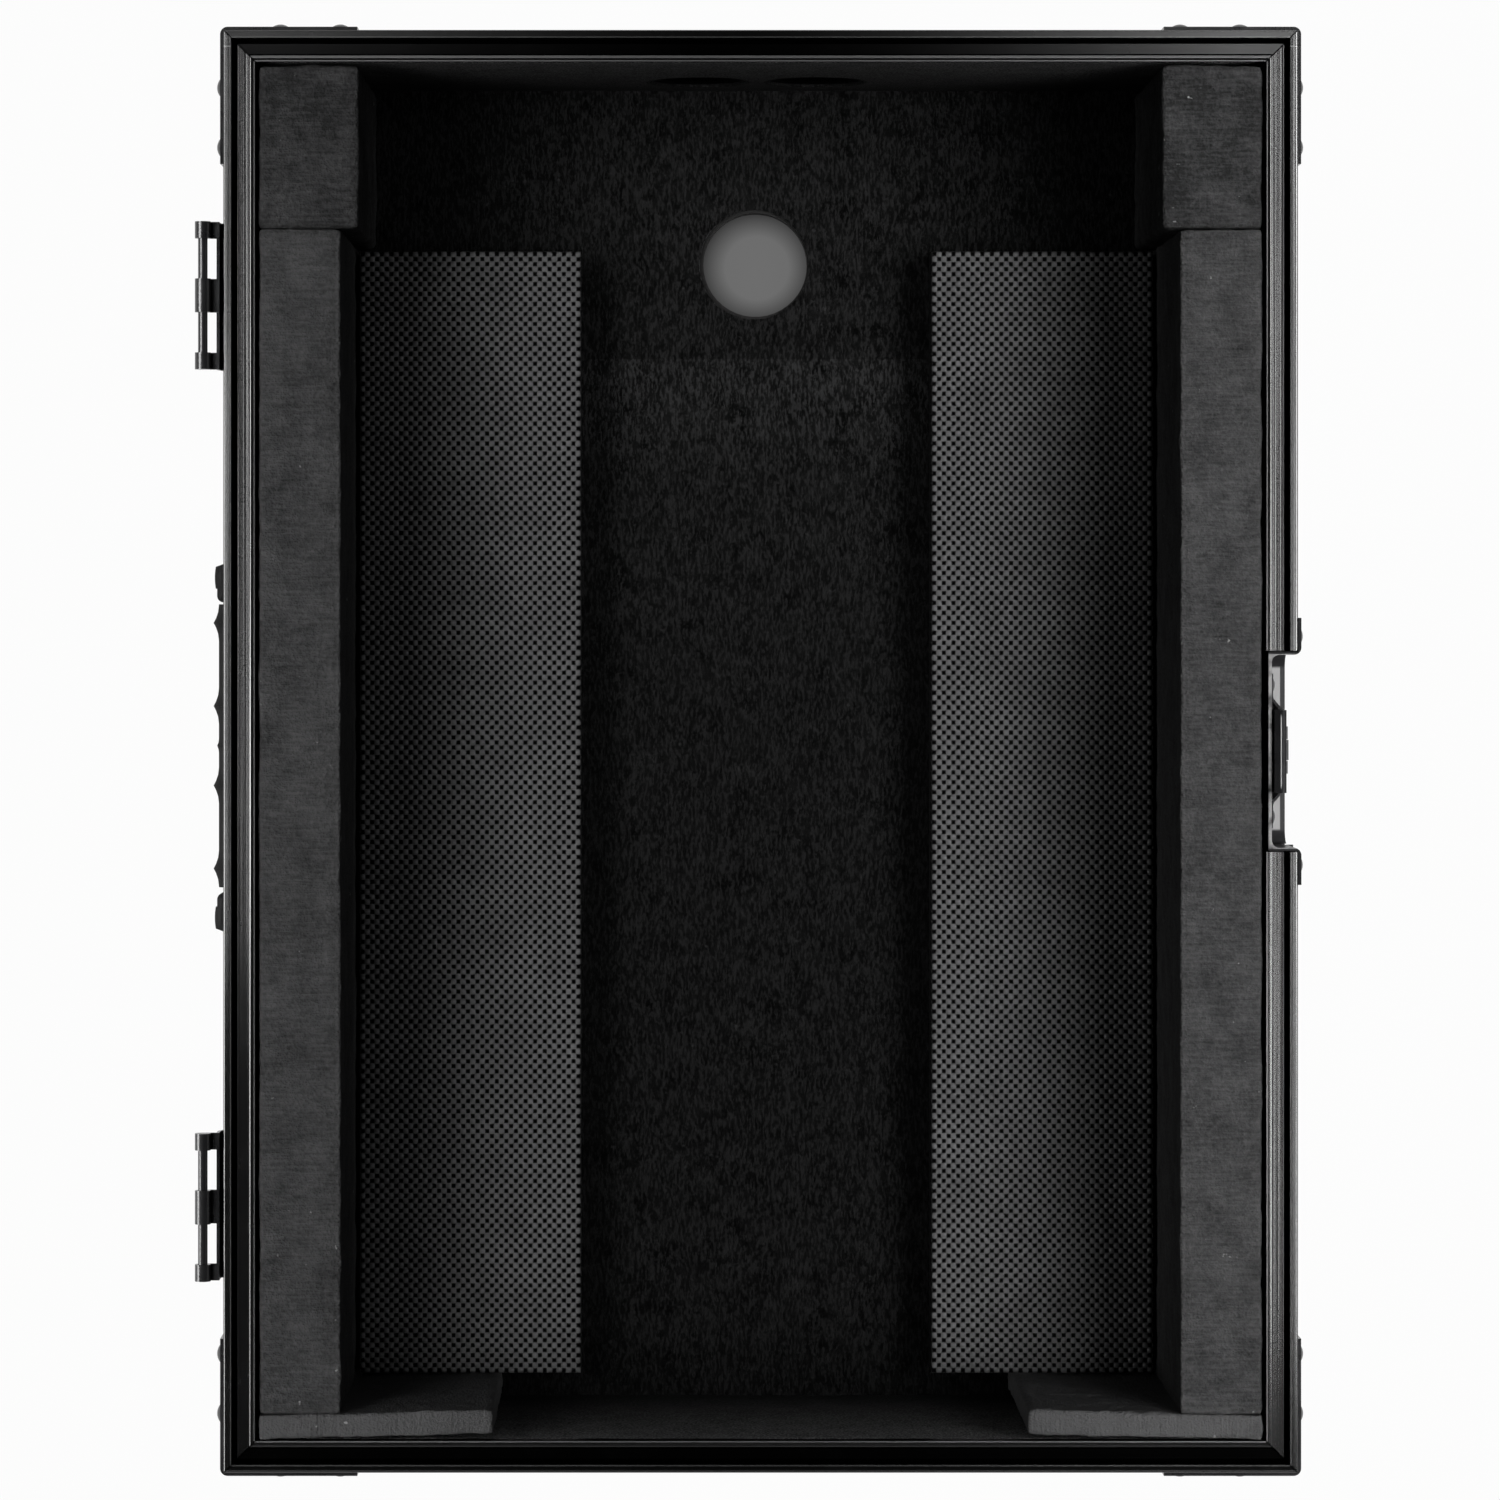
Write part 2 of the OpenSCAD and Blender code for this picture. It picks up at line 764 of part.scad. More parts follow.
// The dish's section seen from above: floor, side walls and flange of one stamping
module dish_plan(reach, flange) {
  half = mouth_w / 2;
  difference() {
    union() {
      translate([-sheet_t, -half - sheet_t]) square([reach + sheet_t, mouth_w + 2 * sheet_t]);
      translate([reach - sheet_t, -flange / 2]) square([sheet_t, flange]);
    }
    translate([mouth_r, -half]) square([reach, mouth_w]);
    translate([0, -half + mouth_r]) square([reach, mouth_w - 2 * mouth_r]);
    for (s = [-1, 1]) translate([mouth_r, s * (half - mouth_r)]) circle(mouth_r);
    for (s = [-1, 1]) difference() {
      translate([reach - mouth_r + eps, s * (half + mouth_r / 2)])
        translate([0, -mouth_r / 2]) square([mouth_r, mouth_r]);
      translate([reach - mouth_r, s * (half + mouth_r)]) circle(mouth_r);
    }
  }
}

module latch_dish() {
  reach_low = px + sheet_t - ix;
  half = mouth_w / 2;
  fall = tan(dish_draft);
  wall_t = sheet_t / cos(dish_draft);
  slope = [[1, 0, 0, 0], [0, 1, 0, 0], [-fall, 0, 1, reach_low * fall], [0, 0, 0, 1]];
  color(black_paint) latch_place() difference() {
    union() {
      translate([0, 0, -rim_leg]) linear_extrude(rim_leg) dish_plan(dish_out, latch_w);
      translate([0, 0, -mouth_h]) linear_extrude(mouth_h - rim_leg) dish_plan(reach_low, latch_w);
      // Step where the flange passes from the rim's leg to the panel
      for (s = [-1, 1])
        translate([(reach_low + dish_out - sheet_t) / 2, s * (half + latch_w / 2) / 2, -rim_leg - sheet_t / 2])
          cube([dish_out - reach_low + sheet_t, latch_w / 2 - half, sheet_t], center = true);
      // Sloping lower wall with rounded corners, and lower flange
      multmatrix(slope) {
        block([-sheet_t, -half - sheet_t, -mouth_h - wall_t], [reach_low, half + sheet_t, -mouth_h]);
        for (s = [-1, 1]) mirror([0, s > 0 ? 0 : 1, 0])
          translate([0, half - mouth_low_r, -mouth_h]) along_x(reach_low) difference() {
            square(mouth_low_r);
            translate([0, mouth_low_r]) circle(mouth_low_r);
          }
      }
      block([reach_low - sheet_t, -latch_w / 2, -latch_h], [reach_low, latch_w / 2, -mouth_h]);
    }
    // Nothing hangs below the lower wall behind the flange
    multmatrix(slope)
      block([-2 * sheet_t, -mouth_w, -latch_h], [reach_low - sheet_t, mouth_w, -mouth_h - wall_t]);
  }
}

// Half outline of the bearing bracket seen from above, sloping down to its feet in a smooth curve
function bracket_rise(y) = bracket_x * (1 + cos(180 * (y - bracket_flat) / bracket_slope)) / 2;
bracket_end = bracket_flat + bracket_slope + bracket_foot;
bracket_ys = [for (i = [0:8]) bracket_flat + bracket_slope * i / 8];
bracket_half = concat([for (y = bracket_ys) [bracket_rise(y), y]], [[0, bracket_end]]);
bracket_line = concat([for (i = [len(bracket_half) - 1:-1:0]) [bracket_half[i][0], -bracket_half[i][1]]],
                      bracket_half);

module latch_bracket() {
  color(black_paint) latch_place() difference() {
    translate([0, 0, -bracket_low]) linear_extrude(bracket_low - bracket_top)
      polygon(concat(bracket_line,
                     [for (i = [len(bracket_line) - 1:-1:0]) bracket_line[i] + [sheet_t, 0]]));
    translate([0, 0, -spindle_drop]) rotate([0, 90, 0])
      cylinder(d = spindle_d + 2 * spindle_clear, h = bracket_x1 + over);
  }
}

// The claw's section from the side: flat plate, step outwards, hook over to the inside
module claw_section() {
  bend = claw_t;
  step_top = -bracket_top + claw_step_up;
  step_low = step_top - (hook_x0 - claw_gap);
  tip_x = claw_gap + claw_bend;
  tail = -bracket_low + claw_tail;
  arc_z = hook_up - bend;
  polygon(concat(
    [[claw_gap, tail], [claw_x1, tail], [claw_x1, step_low - claw_bend],
     [hook_x1, step_top - claw_bend]],
    [for (a = [0:15:105]) [hook_x1 - bend + bend * cos(a), arc_z + bend * sin(a)]],
    [[tip_x, hook_up - hook_tip_t], [tip_x, hook_up - 2 * hook_tip_t], [hook_x0, arc_z],
     [hook_x0, step_top + claw_bend],
     [claw_gap, step_low + claw_bend]]));
}

module latch_claw() {
  color(black_paint) latch_place() difference() {
    along_y(claw_w) claw_section();
    translate([0, 0, -spindle_drop - crank_e]) along_x(claw_x1 + over) {
      square([slot_w - slot_h, slot_h], center = true);
      for (s = [-1, 1]) translate([s * (slot_w - slot_h) / 2, 0]) circle(slot_h / 2);
    }
  }
}

module latch_spindle() {
  color(black_paint) latch_place() translate([0, 0, -spindle_drop]) difference() {
    union() {
      translate([claw_gap, 0, -crank_e]) rotate([0, 90, 0])
        cylinder(d = crank_pin_d, h = crank_x0 - claw_gap + eps);
      translate([crank_x0, 0, 0]) rotate([0, 90, 0]) cylinder(d = crank_d, h = crank_t);
      translate([crank_x1 - eps, 0, 0]) rotate([0, 90, 0])
        cylinder(d = spindle_d, h = bracket_x1 + plate_gap - crank_x1 + eps);
      translate([wing_out, 0, 0]) rotate([90, 0, 0]) cylinder(r = lug_r, h = lug_w, center = true);
      block([bracket_x1, -lug_w / 2, -lug_r], [wing_out, lug_w / 2, lug_r]);
    }
    translate([wing_out, 0, 0]) rotate([90, 0, 0])
      cylinder(d = wing_pin_d + 2 * wing_clear, h = lug_w + 2 * over, center = true);
  }
}

// The wing's outline: two lobes under a bar with a slot for the lug
module wing_outline() {
  lobe = wing_r * lobe_share;
  difference() {
    intersection() {
      union() {
        translate([-wing_knuckle_w / 2, -lobe]) square([wing_knuckle_w, lobe]);
        for (s = [-1, 1]) translate([s * lobe * lobe_out, -lobe * lobe_down]) circle(lobe);
      }
      circle(wing_r);
      translate([-wing_r, -wing_r]) square([2 * wing_r, wing_r]);
    }
    translate([-wing_slot / 2, -lug_r - wing_slot_d]) square([wing_slot, lug_r + 2 * over]);
  }
}

module latch_wing() {
  arm = (wing_knuckle_w - wing_slot) / 2;
  color(black_paint) latch_place() translate([wing_out, 0, -spindle_drop]) difference() {
    union() {
      translate([-wing_t / 2, 0, 0]) along_x(wing_t) wing_outline();
      for (s = [-1, 1]) translate([0, s * (wing_slot + arm) / 2, 0]) rotate([90, 0, 0])
        cylinder(r = wing_knuckle_r, h = arm, center = true);
    }
    rotate([90, 0, 0])
      cylinder(d = wing_pin_d + 2 * wing_clear, h = wing_knuckle_w + 2 * over, center = true);
  }
}

module latch_wing_pin() {
  color(black_paint) latch_place() translate([wing_out, 0, -spindle_drop]) rotate([90, 0, 0])
    cylinder(d = wing_pin_d, h = wing_knuckle_w, center = true);
}

// Handle, with x out of the left panel and z about the middle of its plate

module handle_place() {
  translate([-px, 0, handle_z]) mirror([1, 0, 0]) children();
}

module handle_dish() {
  color(black_paint) handle_place() {
    along_x(sheet_t) difference() {
      round_rect(plate_l, plate_h, plate_r);
      round_rect(recess_l, recess_h, recess_r);
    }
    translate([-panel_t, 0, 0]) along_x(panel_t + eps) difference() {
      round_rect(recess_l + 2 * sheet_t, recess_h + 2 * sheet_t, recess_r + sheet_t);
      round_rect(recess_l, recess_h, recess_r);
    }
    translate([-panel_t, 0, 0]) along_x(sheet_t)
      round_rect(recess_l + sheet_t, recess_h + sheet_t, recess_r);
  }
}

// Radius of an ear along the rod: a barrel, thinner at its ends; f runs from -1 to 1
function ear_side(f) = rod_d / 2 + ear_clear + ear_end_t + (ear_t - ear_end_t) * (1 - f * f);

// A pivot ear: a barrel with a blind bore, and a foot that slopes out to the plate
module handle_ear() {
  base = sheet_t + ear_seat;
  half = ear_w / 2;
  steps = [-1, -0.8, -0.5, -0.2, 0.2, 0.5, 0.8, 1];
  difference() {
    hull() {
      translate([pivot_out, 0, 0]) rotate([-90, 0, 0]) rotate_extrude($fn = 32)
        polygon(concat([[0, half], [0, -half]], [for (f = steps) [ear_side(f), f * half]]));
      block([base, -half, -ear_r], [base + ear_foot_h, half + ear_foot, ear_r]);
    }
    translate([pivot_out, -half - over, 0]) rotate([-90, 0, 0])
      cylinder(r = rod_d / 2 + ear_clear, h = ear_w + over - ear_cap);
  }
}

module handle_ears() {
  color(black_paint) handle_place() for (s = [-1, 1])
    mirror([0, s > 0 ? 0 : 1, 0]) translate([0, ear_y, pivot_up]) handle_ear();
}

// A quarter bend of the rod about the origin, from +X to +Y
module rod_bend() {
  rotate_extrude(angle = 90) translate([bail_r, 0]) circle(d = rod_d);
}

module handle_bail() {
  stub = ear_y + ear_w / 2 - ear_cap - stub_end;
  color(black_paint) handle_place() translate([pivot_out, 0, pivot_up]) {
    translate([0, 0, -bail_leg]) rotate([90, 0, 0])
      cylinder(d = rod_d, h = 2 * (bail_y - bail_r), center = true);
    for (s = [-1, 1]) mirror([0, s > 0 ? 0 : 1, 0]) {
      translate([0, bail_y, -bail_leg + bail_r]) cylinder(d = rod_d, h = bail_leg - bail_r);
      translate([0, bail_y - bail_r, -bail_leg + bail_r]) rotate([90, 0, 90]) rotate([0, 0, -90]) rod_bend();
      translate([0, bail_y, 0]) sphere(d = rod_d);
      translate([0, bail_y, 0]) rotate([-90, 0, 0]) cylinder(d = rod_d, h = stub - bail_y);
    }
  }
}

// Radius of the grip at a distance from its middle: pointed ridges between shallow hollows
function ridge(y, at, w) = pow(max(0, 1 - abs(y - at) / w), 2);
function grip_r(y) = grip_d / 2 + ring_h * ridge(y, 0, ring_w)
  + ridge_h * (ridge(y, ridge_a, ridge_w) + ridge(y, ridge_b, ridge_w));
ridge_steps = [-1, -0.6, -0.25, 0, 0.25, 0.6, 1] * ridge_w;
grip_ys = concat([0, ring_w / 2, ring_w], [for (t = ridge_steps) ridge_a + t],
                 [for (t = ridge_steps) if (ridge_b + t < grip_l / 2) ridge_b + t], [grip_l / 2]);
grip_side = [for (y = grip_ys) [grip_r(y), y]];

module handle_grip() {
  bore = rod_d / 2 + ear_clear;
  color(rubber_black) handle_place() translate([pivot_out, 0, pivot_up - bail_leg]) rotate([90, 0, 0])
    rotate_extrude($fn = 32) polygon(concat(
      [[bore, grip_l / 2], [bore, -grip_l / 2]],
      [for (i = [len(grip_side) - 1:-1:1]) [grip_side[i][0], -grip_side[i][1]]],
      grip_side));
}

// Foam

module foam_side() {
  block([-foam_x, side_foam_y0, z_felt], [-bay_x, side_foam_y1, z_foam]);
}

module foam_rear() {
  block([-foam_x, rear_foam_y, z_felt], [-rear_bay_x, foam_y, z_foam]);
}

module foam_front() {
  block([-foam_x, -strip_y, z_felt], [-foam_x + strip_l, -strip_y + strip_t, z_foam]);
}

module pad() {
  block([-pad_x, pad_y0, z_felt], [-pad_x + pad_w, pad_y1, z_felt + pad_t]);
}

module foam_side_left() {
  color(foam_grey) foam_side();
}

module foam_side_right() {
  color(foam_grey) mirror([1, 0, 0]) foam_side();
}

module foam_rear_left() {
  color(foam_grey) foam_rear();
}

module foam_rear_right() {
  color(foam_grey) mirror([1, 0, 0]) foam_rear();
}

module foam_front_left() {
  color(foam_grey) foam_front();
}

module foam_front_right() {
  color(foam_grey) mirror([1, 0, 0]) foam_front();
}

module pad_left() {
  color(pad_grey) pad();
}

module pad_right() {
  color(pad_grey) mirror([1, 0, 0]) pad();
}

// Lining

module lining_floor() {
  color(felt_black) block([-ix, -iy, z_in], [ix, iy - felt_seam - felt_joint, z_felt]);
}

module lining_floor_rear() {
  color(felt_black) difference() {
    block([-ix, iy - felt_seam, z_in], [ix, iy, z_felt]);
    translate([0, iy - floor_port_inset, z_in - over])
      cylinder(d = floor_port_d + 2 * port_felt_back, h = felt_t + 2 * over);
  }
}

module lining_left() {
  color(felt_black) block([-ix, -iy, z_felt], [-fx, iy, z_lining]);
}

module lining_right() {
  half = mouth_w / 2 + sheet_t + mouth_gap;
  color(felt_black) difference() {
    block([fx, -iy, z_felt], [ix, iy, z_lining]);
    block([fx - over, -half, z_rim - mouth_h - sheet_t - mouth_gap], [ix + over, half, z_rim]);
  }
}

module lining_front() {
  color(felt_black) block([-fx, -iy, z_felt], [fx, -fy, z_lining]);
}

module lining_rear() {
  color(felt_black) difference() {
    block([-fx, fy, z_felt], [fx, iy, z_lining]);
    rear_ports(rear_port_d + 2 * port_felt_back);
  }
}

// Feet

module foot_places() {
  for (x = [-1, 1], y = [-1, 1])
    translate([x * (ox - foot_inset), y * (oy - foot_inset), 0]) children();
}

module feet() {
  color(rubber_black) foot_places() difference() {
    cylinder(d1 = foot_d - foot_taper, d2 = foot_d, h = foot_h);
    translate([0, 0, -over]) cylinder(d = foot_bore_d, h = foot_h - foot_web + over);
    cylinder(d = foot_screw_d / 2 + foot_screw_clear, h = foot_h + over);
  }
}

module foot_screws() {
  head = foot_screw_d / 3;
  color(black_paint) foot_places() {
    translate([0, 0, foot_h - foot_web]) rotate([180, 0, 0]) rivet_head(foot_screw_d, head);
    translate([0, 0, foot_h - foot_web - eps]) cylinder(d = foot_screw_d / 2, h = foot_web + eps);
  }
}

// Rivets

// Copies for the four corners
module four() {
  for (x = [0, 1], y = [0, 1]) mirror([x, 0, 0]) mirror([0, y, 0]) children();
}

// Places along an edge of the given length
function places(l) = let (n = floor(l / rivet_pitch)) [for (i = [0:n]) (i - n / 2) * rivet_pitch];

module rivets_edge() {
  z_brace = z_rim - brace_h / 2;
  reach = ball_leg * ball_rivet_far;
  near = ball_leg * ball_rivet_near;
  edge_mid = edge_leg * edge_rivet_share;
  color(black_paint) {
    four() {
      for (d = [brace_rivet_a, brace_rivet_b]) {
        translate([-ox - brace_t, oy - d, z_brace]) mirror([1, 0, 0]) rivet_x();
        translate([-ox + d, oy + brace_t, z_brace]) rivet_y();
      }
      for (p = [[reach, near], [near, reach]]) {
        translate([-ox - brace_t, oy - p[0], z_edge + p[1]]) mirror([1, 0, 0]) rivet_x();
        translate([-ox + p[0], oy + brace_t, z_edge + p[1]]) rivet_y();
        translate([-ox + p[0], oy - p[1], z_edge - brace_t]) rivet_down();
      }
    }
    for (m = [0, 1]) {
      mirror([m, 0, 0]) for (y = places(case_l - 4 * ball_leg))
        translate([-ox, y, z_edge + edge_mid]) mirror([1, 0, 0]) rivet_x();
      mirror([m, 0, 0]) for (y = places(case_l - 4 * ball_leg))
        translate([-ox + edge_mid, y, z_edge]) rivet_down();
      mirror([0, m, 0]) for (x = places(case_w - 4 * ball_leg))
        translate([x, oy, z_edge + edge_mid]) rivet_y();
      mirror([0, m, 0]) for (x = places(case_w - 4 * ball_leg))
        translate([x, oy - edge_mid, z_edge]) rivet_down();
    }
  }
}

module rivets_hinge() {
  color(black_paint) for (s = [-1, 1]) hinge_place(s) for (y = [-1, 0, 1])
    translate([leaf_t, y * hinge_rivet_pitch, -(leaf_drop + leaf_seat) / 2]) rivet_x();
}

module rivets_latch() {
  foot_y = bracket_end - bracket_foot / 2;
  flange_y = (mouth_w + latch_w) / 4;
  color(black_paint) latch_place() for (s = [-1, 1]) {
    for (z = [-bracket_top - bracket_rivet_in, -bracket_low + bracket_rivet_in])
      translate([sheet_t, s * foot_y, z]) rivet_x(bracket_rivet_d, bracket_rivet_h);
    translate([dish_out, s * flange_y, -rim_leg / 2]) rivet_x();
    translate([px + sheet_t - ix, s * flange_y, -(mouth_h + latch_h) / 2]) rivet_x();
  }
}

module rivets_handle() {
  row = (plate_h + recess_h) / 4;
  color(black_paint) handle_place() for (s = [-1, 1], y = [-1, 1], d = [plate_rivet_a, plate_rivet_b])
    translate([sheet_t, y * d, s * row]) rivet_x();
}

floor_panel();
wall_left();
wall_right();
wall_front();
wall_rear();
rim_left();
rim_rear();
rim_front();
rim_right_rear();
rim_right_front();
edge_left();
edge_right();
edge_front();
edge_rear();
post_left_rear();
post_right_rear();
post_left_front();
post_right_front();
ball_left_rear();
ball_right_rear();
ball_left_front();
ball_right_front();
brace_left_rear();
brace_right_rear();
brace_left_front();
brace_right_front();
hinge_leaf_rear();
hinge_leaf_front();
hinge_pin_rear();
hinge_pin_front();
latch_dish();
latch_bracket();
latch_claw();
latch_spindle();
latch_wing();
latch_wing_pin();
handle_dish();
handle_ears();
handle_bail();
handle_grip();
foam_side_left();
foam_side_right();
foam_rear_left();
foam_rear_right();
foam_front_left();
foam_front_right();
pad_left();
pad_right();
lining_floor();
lining_floor_rear();
lining_left();
lining_right();
lining_front();
lining_rear();
feet();
foot_screws();
rivets_edge();
rivets_hinge();
rivets_latch();
rivets_handle();
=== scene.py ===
# %% [markdown]
# # Dressing the base of a padded flight case
# The hard parts of this case (panels, rim bars, edge angles, corners, hinges, latch and handle)
# arrive as finished solids in metres, and only need good surfaces. The soft parts (felt lining,
# sawn foam blocks and embossed floor pads) arrive as plain stand-ins, and are modelled here.
# This lesson goes from the camera and the light to the finishes, and then to the soft parts.

# %% Load the solids
import math

import bpy
import numpy as np
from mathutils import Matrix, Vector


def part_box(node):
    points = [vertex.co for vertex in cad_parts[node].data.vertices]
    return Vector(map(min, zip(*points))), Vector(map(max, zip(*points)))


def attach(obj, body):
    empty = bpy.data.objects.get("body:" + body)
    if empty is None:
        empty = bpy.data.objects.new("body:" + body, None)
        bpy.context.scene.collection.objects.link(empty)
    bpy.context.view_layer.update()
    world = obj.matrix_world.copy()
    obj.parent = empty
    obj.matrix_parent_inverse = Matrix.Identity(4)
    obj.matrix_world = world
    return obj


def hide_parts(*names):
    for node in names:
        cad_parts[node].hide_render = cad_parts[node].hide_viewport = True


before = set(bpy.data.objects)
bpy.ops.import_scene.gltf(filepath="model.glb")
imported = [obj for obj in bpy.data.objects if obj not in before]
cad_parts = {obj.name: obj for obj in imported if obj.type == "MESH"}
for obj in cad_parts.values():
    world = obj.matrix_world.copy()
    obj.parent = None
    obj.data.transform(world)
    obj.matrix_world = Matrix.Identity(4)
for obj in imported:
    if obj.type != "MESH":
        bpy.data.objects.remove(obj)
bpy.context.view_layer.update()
MM = 0.001

# %% [markdown]
# ## Camera
# The photograph looks straight down into the case. The rim is an exact rectangle in it, so the
# camera isn't tilted: it stands a little left of and behind the middle, and the lens is shifted to
# bring the case to the middle of the picture. The far ends of the foam blocks, which are drawn a
# few percent smaller than their tops, give the distance of 2.1 m above the rim.

# %% Camera above the case
CAMERA_AT = (-37.0 * MM, 57.6 * MM, 2250.5 * MM)
scene = bpy.context.scene
bpy.ops.object.select_all(action="DESELECT")
bpy.ops.object.camera_add(location=CAMERA_AT, rotation=(0, 0, 0))
camera = bpy.context.object
camera.name = "camera_above"
camera.data.sensor_width = 36
camera.data.lens = 126.3
camera.data.shift_x = 0.0547
camera.data.shift_y = -0.0953
scene.camera = camera
scene.view_settings.view_transform = "Standard"
print("camera at", [round(v, 4) for v in camera.location])

# %% [markdown]
# ## Shader sums in Python
# A finish is a small calculation: a grain pattern, a mask, a mix of two colours. Adding every
# node by hand hides that, so this class wraps a socket and lets the sums be written as sums.
# Numbers and values go through Math nodes, and every other node comes from the method `node`.


# %% A socket that can be reckoned with
class Strand:
    """A socket of a finish. Sums on it add Math nodes, and node() adds any other node."""

    def __init__(self, tree, socket=None):
        self.tree = tree
        self.socket = socket

    def node(self, kind, settings=None, inputs=None, out=0):
        made = self.tree.nodes.new(kind)
        for key, value in (settings or {}).items():
            setattr(made, key, value)
        for key, value in (inputs or {}).items():
            if isinstance(value, Strand):
                self.tree.links.new(value.socket, made.inputs[key])
            else:
                made.inputs[key].default_value = value
        return Strand(self.tree, made.outputs[out])

    def sum(self, operation, first, second=0.0):
        return self.node("ShaderNodeMath", {"operation": operation}, {0: first, 1: second})

    def __add__(self, other):
        return self.sum("ADD", self, other)

    __radd__ = __add__

    def __sub__(self, other):
        return self.sum("SUBTRACT", self, other)

    def __rsub__(self, other):
        return self.sum("SUBTRACT", other, self)

    def __mul__(self, other):
        return self.sum("MULTIPLY", self, other)

    __rmul__ = __mul__

    def __pow__(self, other):
        return self.sum("POWER", self, other)

    def __gt__(self, other):
        return self.sum("GREATER_THAN", self, other)

    def __abs__(self):
        return self.sum("ABSOLUTE", self)

    def limit(self, low, high):
        """Zero at low and one at high, with a straight rise between them."""
        return self.node("ShaderNodeMapRange", {"clamp": True},
                         {"Value": self, "From Min": low, "From Max": high})

    def between(self, low, high):
        """One from low to high, and zero elsewhere."""
        return (self > low) * (1 - (self > high))

    def axes(self):
        """The X, Y and Z of a place, by name."""
        split = self.node("ShaderNodeSeparateXYZ", None, {0: self}).socket.node
        return {name: Strand(self.tree, split.outputs[name]) for name in "XYZ"}

    def grey(self):
        """A grey colour of this value."""
        return self.node("ShaderNodeCombineColor", None, {0: self, 1: self, 2: self})

    def blend(self, dark, light):
        """A colour: dark where this strand is zero, light where it is one."""
        ends = [end if isinstance(end, Strand) else (*end, 1) for end in (dark, light)]
        return self.node("ShaderNodeMix", {"data_type": "RGBA"},
                         {0: self, 6: ends[0], 7: ends[1]}, out=2)


def stretched(start, scale=(1, 1, 1)):
    """Object coordinates, drawn out by a different amount along each axis."""
    place = start.node("ShaderNodeTexCoord", out="Object")
    return start.node("ShaderNodeMapping", {"vector_type": "POINT"},
                      {"Vector": place, "Scale": scale})


def specks(place, scale, detail=2.0, rough=0.5):
    return place.node("ShaderNodeTexNoise", None,
                      {"Vector": place, "Scale": scale, "Detail": detail, "Roughness": rough})


def cells(place, scale, feature="F1"):
    return place.node("ShaderNodeTexVoronoi", {"feature": feature},
                      {"Vector": place, "Scale": scale})


def new_finish(name, **fixed):
    """A material with its fixed numbers set on the shader's own sockets."""
    finish = bpy.data.materials.new(name)
    finish.use_nodes = True
    shader = finish.node_tree.nodes["Principled BSDF"]
    for key, value in fixed.items():
        shader.inputs[key.replace("_", " ")].default_value = value
    return finish, shader, Strand(finish.node_tree)


def feed(shader, **strands):
    """Links strands to the shader's sockets, named with _ for each space."""
    for key, strand in strands.items():
        strand.tree.links.new(strand.socket, shader.inputs[key.replace("_", " ")])


def raised(height, strength, depth):
    """A bump from a height strand; depth is the full height of the relief in metres."""
    return height.node("ShaderNodeBump", None,
                       {"Strength": strength, "Distance": depth, "Height": height}, out="Normal")


print("helpers for finishes are ready")

# %% [markdown]
# ## Light
# The tops of the foam are grey while its upright faces are nearly black, and each floor pad fades
# to black towards its own side of the case. So the light is two long softboxes, one above each
# side, with grids that keep each one to its own half: the foam shades the pad beside it. Felt and
# foam scatter light, and are lit evenly from rear to front. The bars shine, and their shine fades
# towards the front, on the left sooner than on the right. So the softboxes light only what is matt,
# and narrower strips are seen only as reflections: one on each side that ends before the front, and a
# low one at the front left, which the round bead and lip still catch while the flat ledge
# doesn't. Dim walls add a low horizon, which lights the outside of the case.

# %% Softboxes, strips and studio walls
LAMP_WIDTH, LAMP_REACH = 0.34, 0.36
AIM_X, AIM_Z = 0.225, 0.12


def side_lamp(name, side, power, middle_y, length, slant=30, spread=46):
    """A long gridded lamp that slants down to the rim of one side; power is for each metre."""
    turn = math.radians(slant)
    place = (side * AIM_X + side * LAMP_REACH * math.sin(turn), middle_y,
             AIM_Z + LAMP_REACH * math.cos(turn))
    bpy.ops.object.light_add(type="AREA", location=place, rotation=(0, side * turn, 0))
    lamp = bpy.context.object
    lamp.name = name
    lamp.data.shape = "RECTANGLE"
    lamp.data.size = LAMP_WIDTH
    lamp.data.size_y = length
    lamp.data.spread = math.radians(spread)
    lamp.data.energy = power * length
    lamp.visible_camera = False
    return lamp


LEFT, RIGHT = -1, 1
bpy.ops.object.select_all(action="DESELECT")
softboxes = [side_lamp("softbox_left", LEFT, 1.56, 0.05, 1.0),
             side_lamp("softbox_right", RIGHT, 2.10, 0.02, 1.0, slant=28)]
for lamp in softboxes:
    lamp.visible_glossy = False
strips = [side_lamp("strip_left", LEFT, 0.85, 0.145, 0.47, slant=40, spread=34),
          side_lamp("strip_right", RIGHT, 1.10, 0.05, 0.66, slant=40, spread=34),
          side_lamp("strip_low", LEFT, 0.85, -0.17, 0.42, slant=66, spread=34)]
for lamp in strips:
    lamp.visible_diffuse = False
world = bpy.data.worlds.new("studio_walls")
scene.world = world
world.use_nodes = True
sky = Strand(world.node_tree)
height = sky.node("ShaderNodeTexCoord", out="Generated").axes()["Z"]
walls = height.limit(0.28, 0.06) * 0.75 + 0.010
background = world.node_tree.nodes["Background"]
world.node_tree.links.new(walls.socket, background.inputs["Strength"])
background.inputs["Color"].default_value = (1, 1, 1, 1)
print("lamps:", [(lamp.name, round(lamp.data.energy, 2)) for lamp in softboxes + strips])
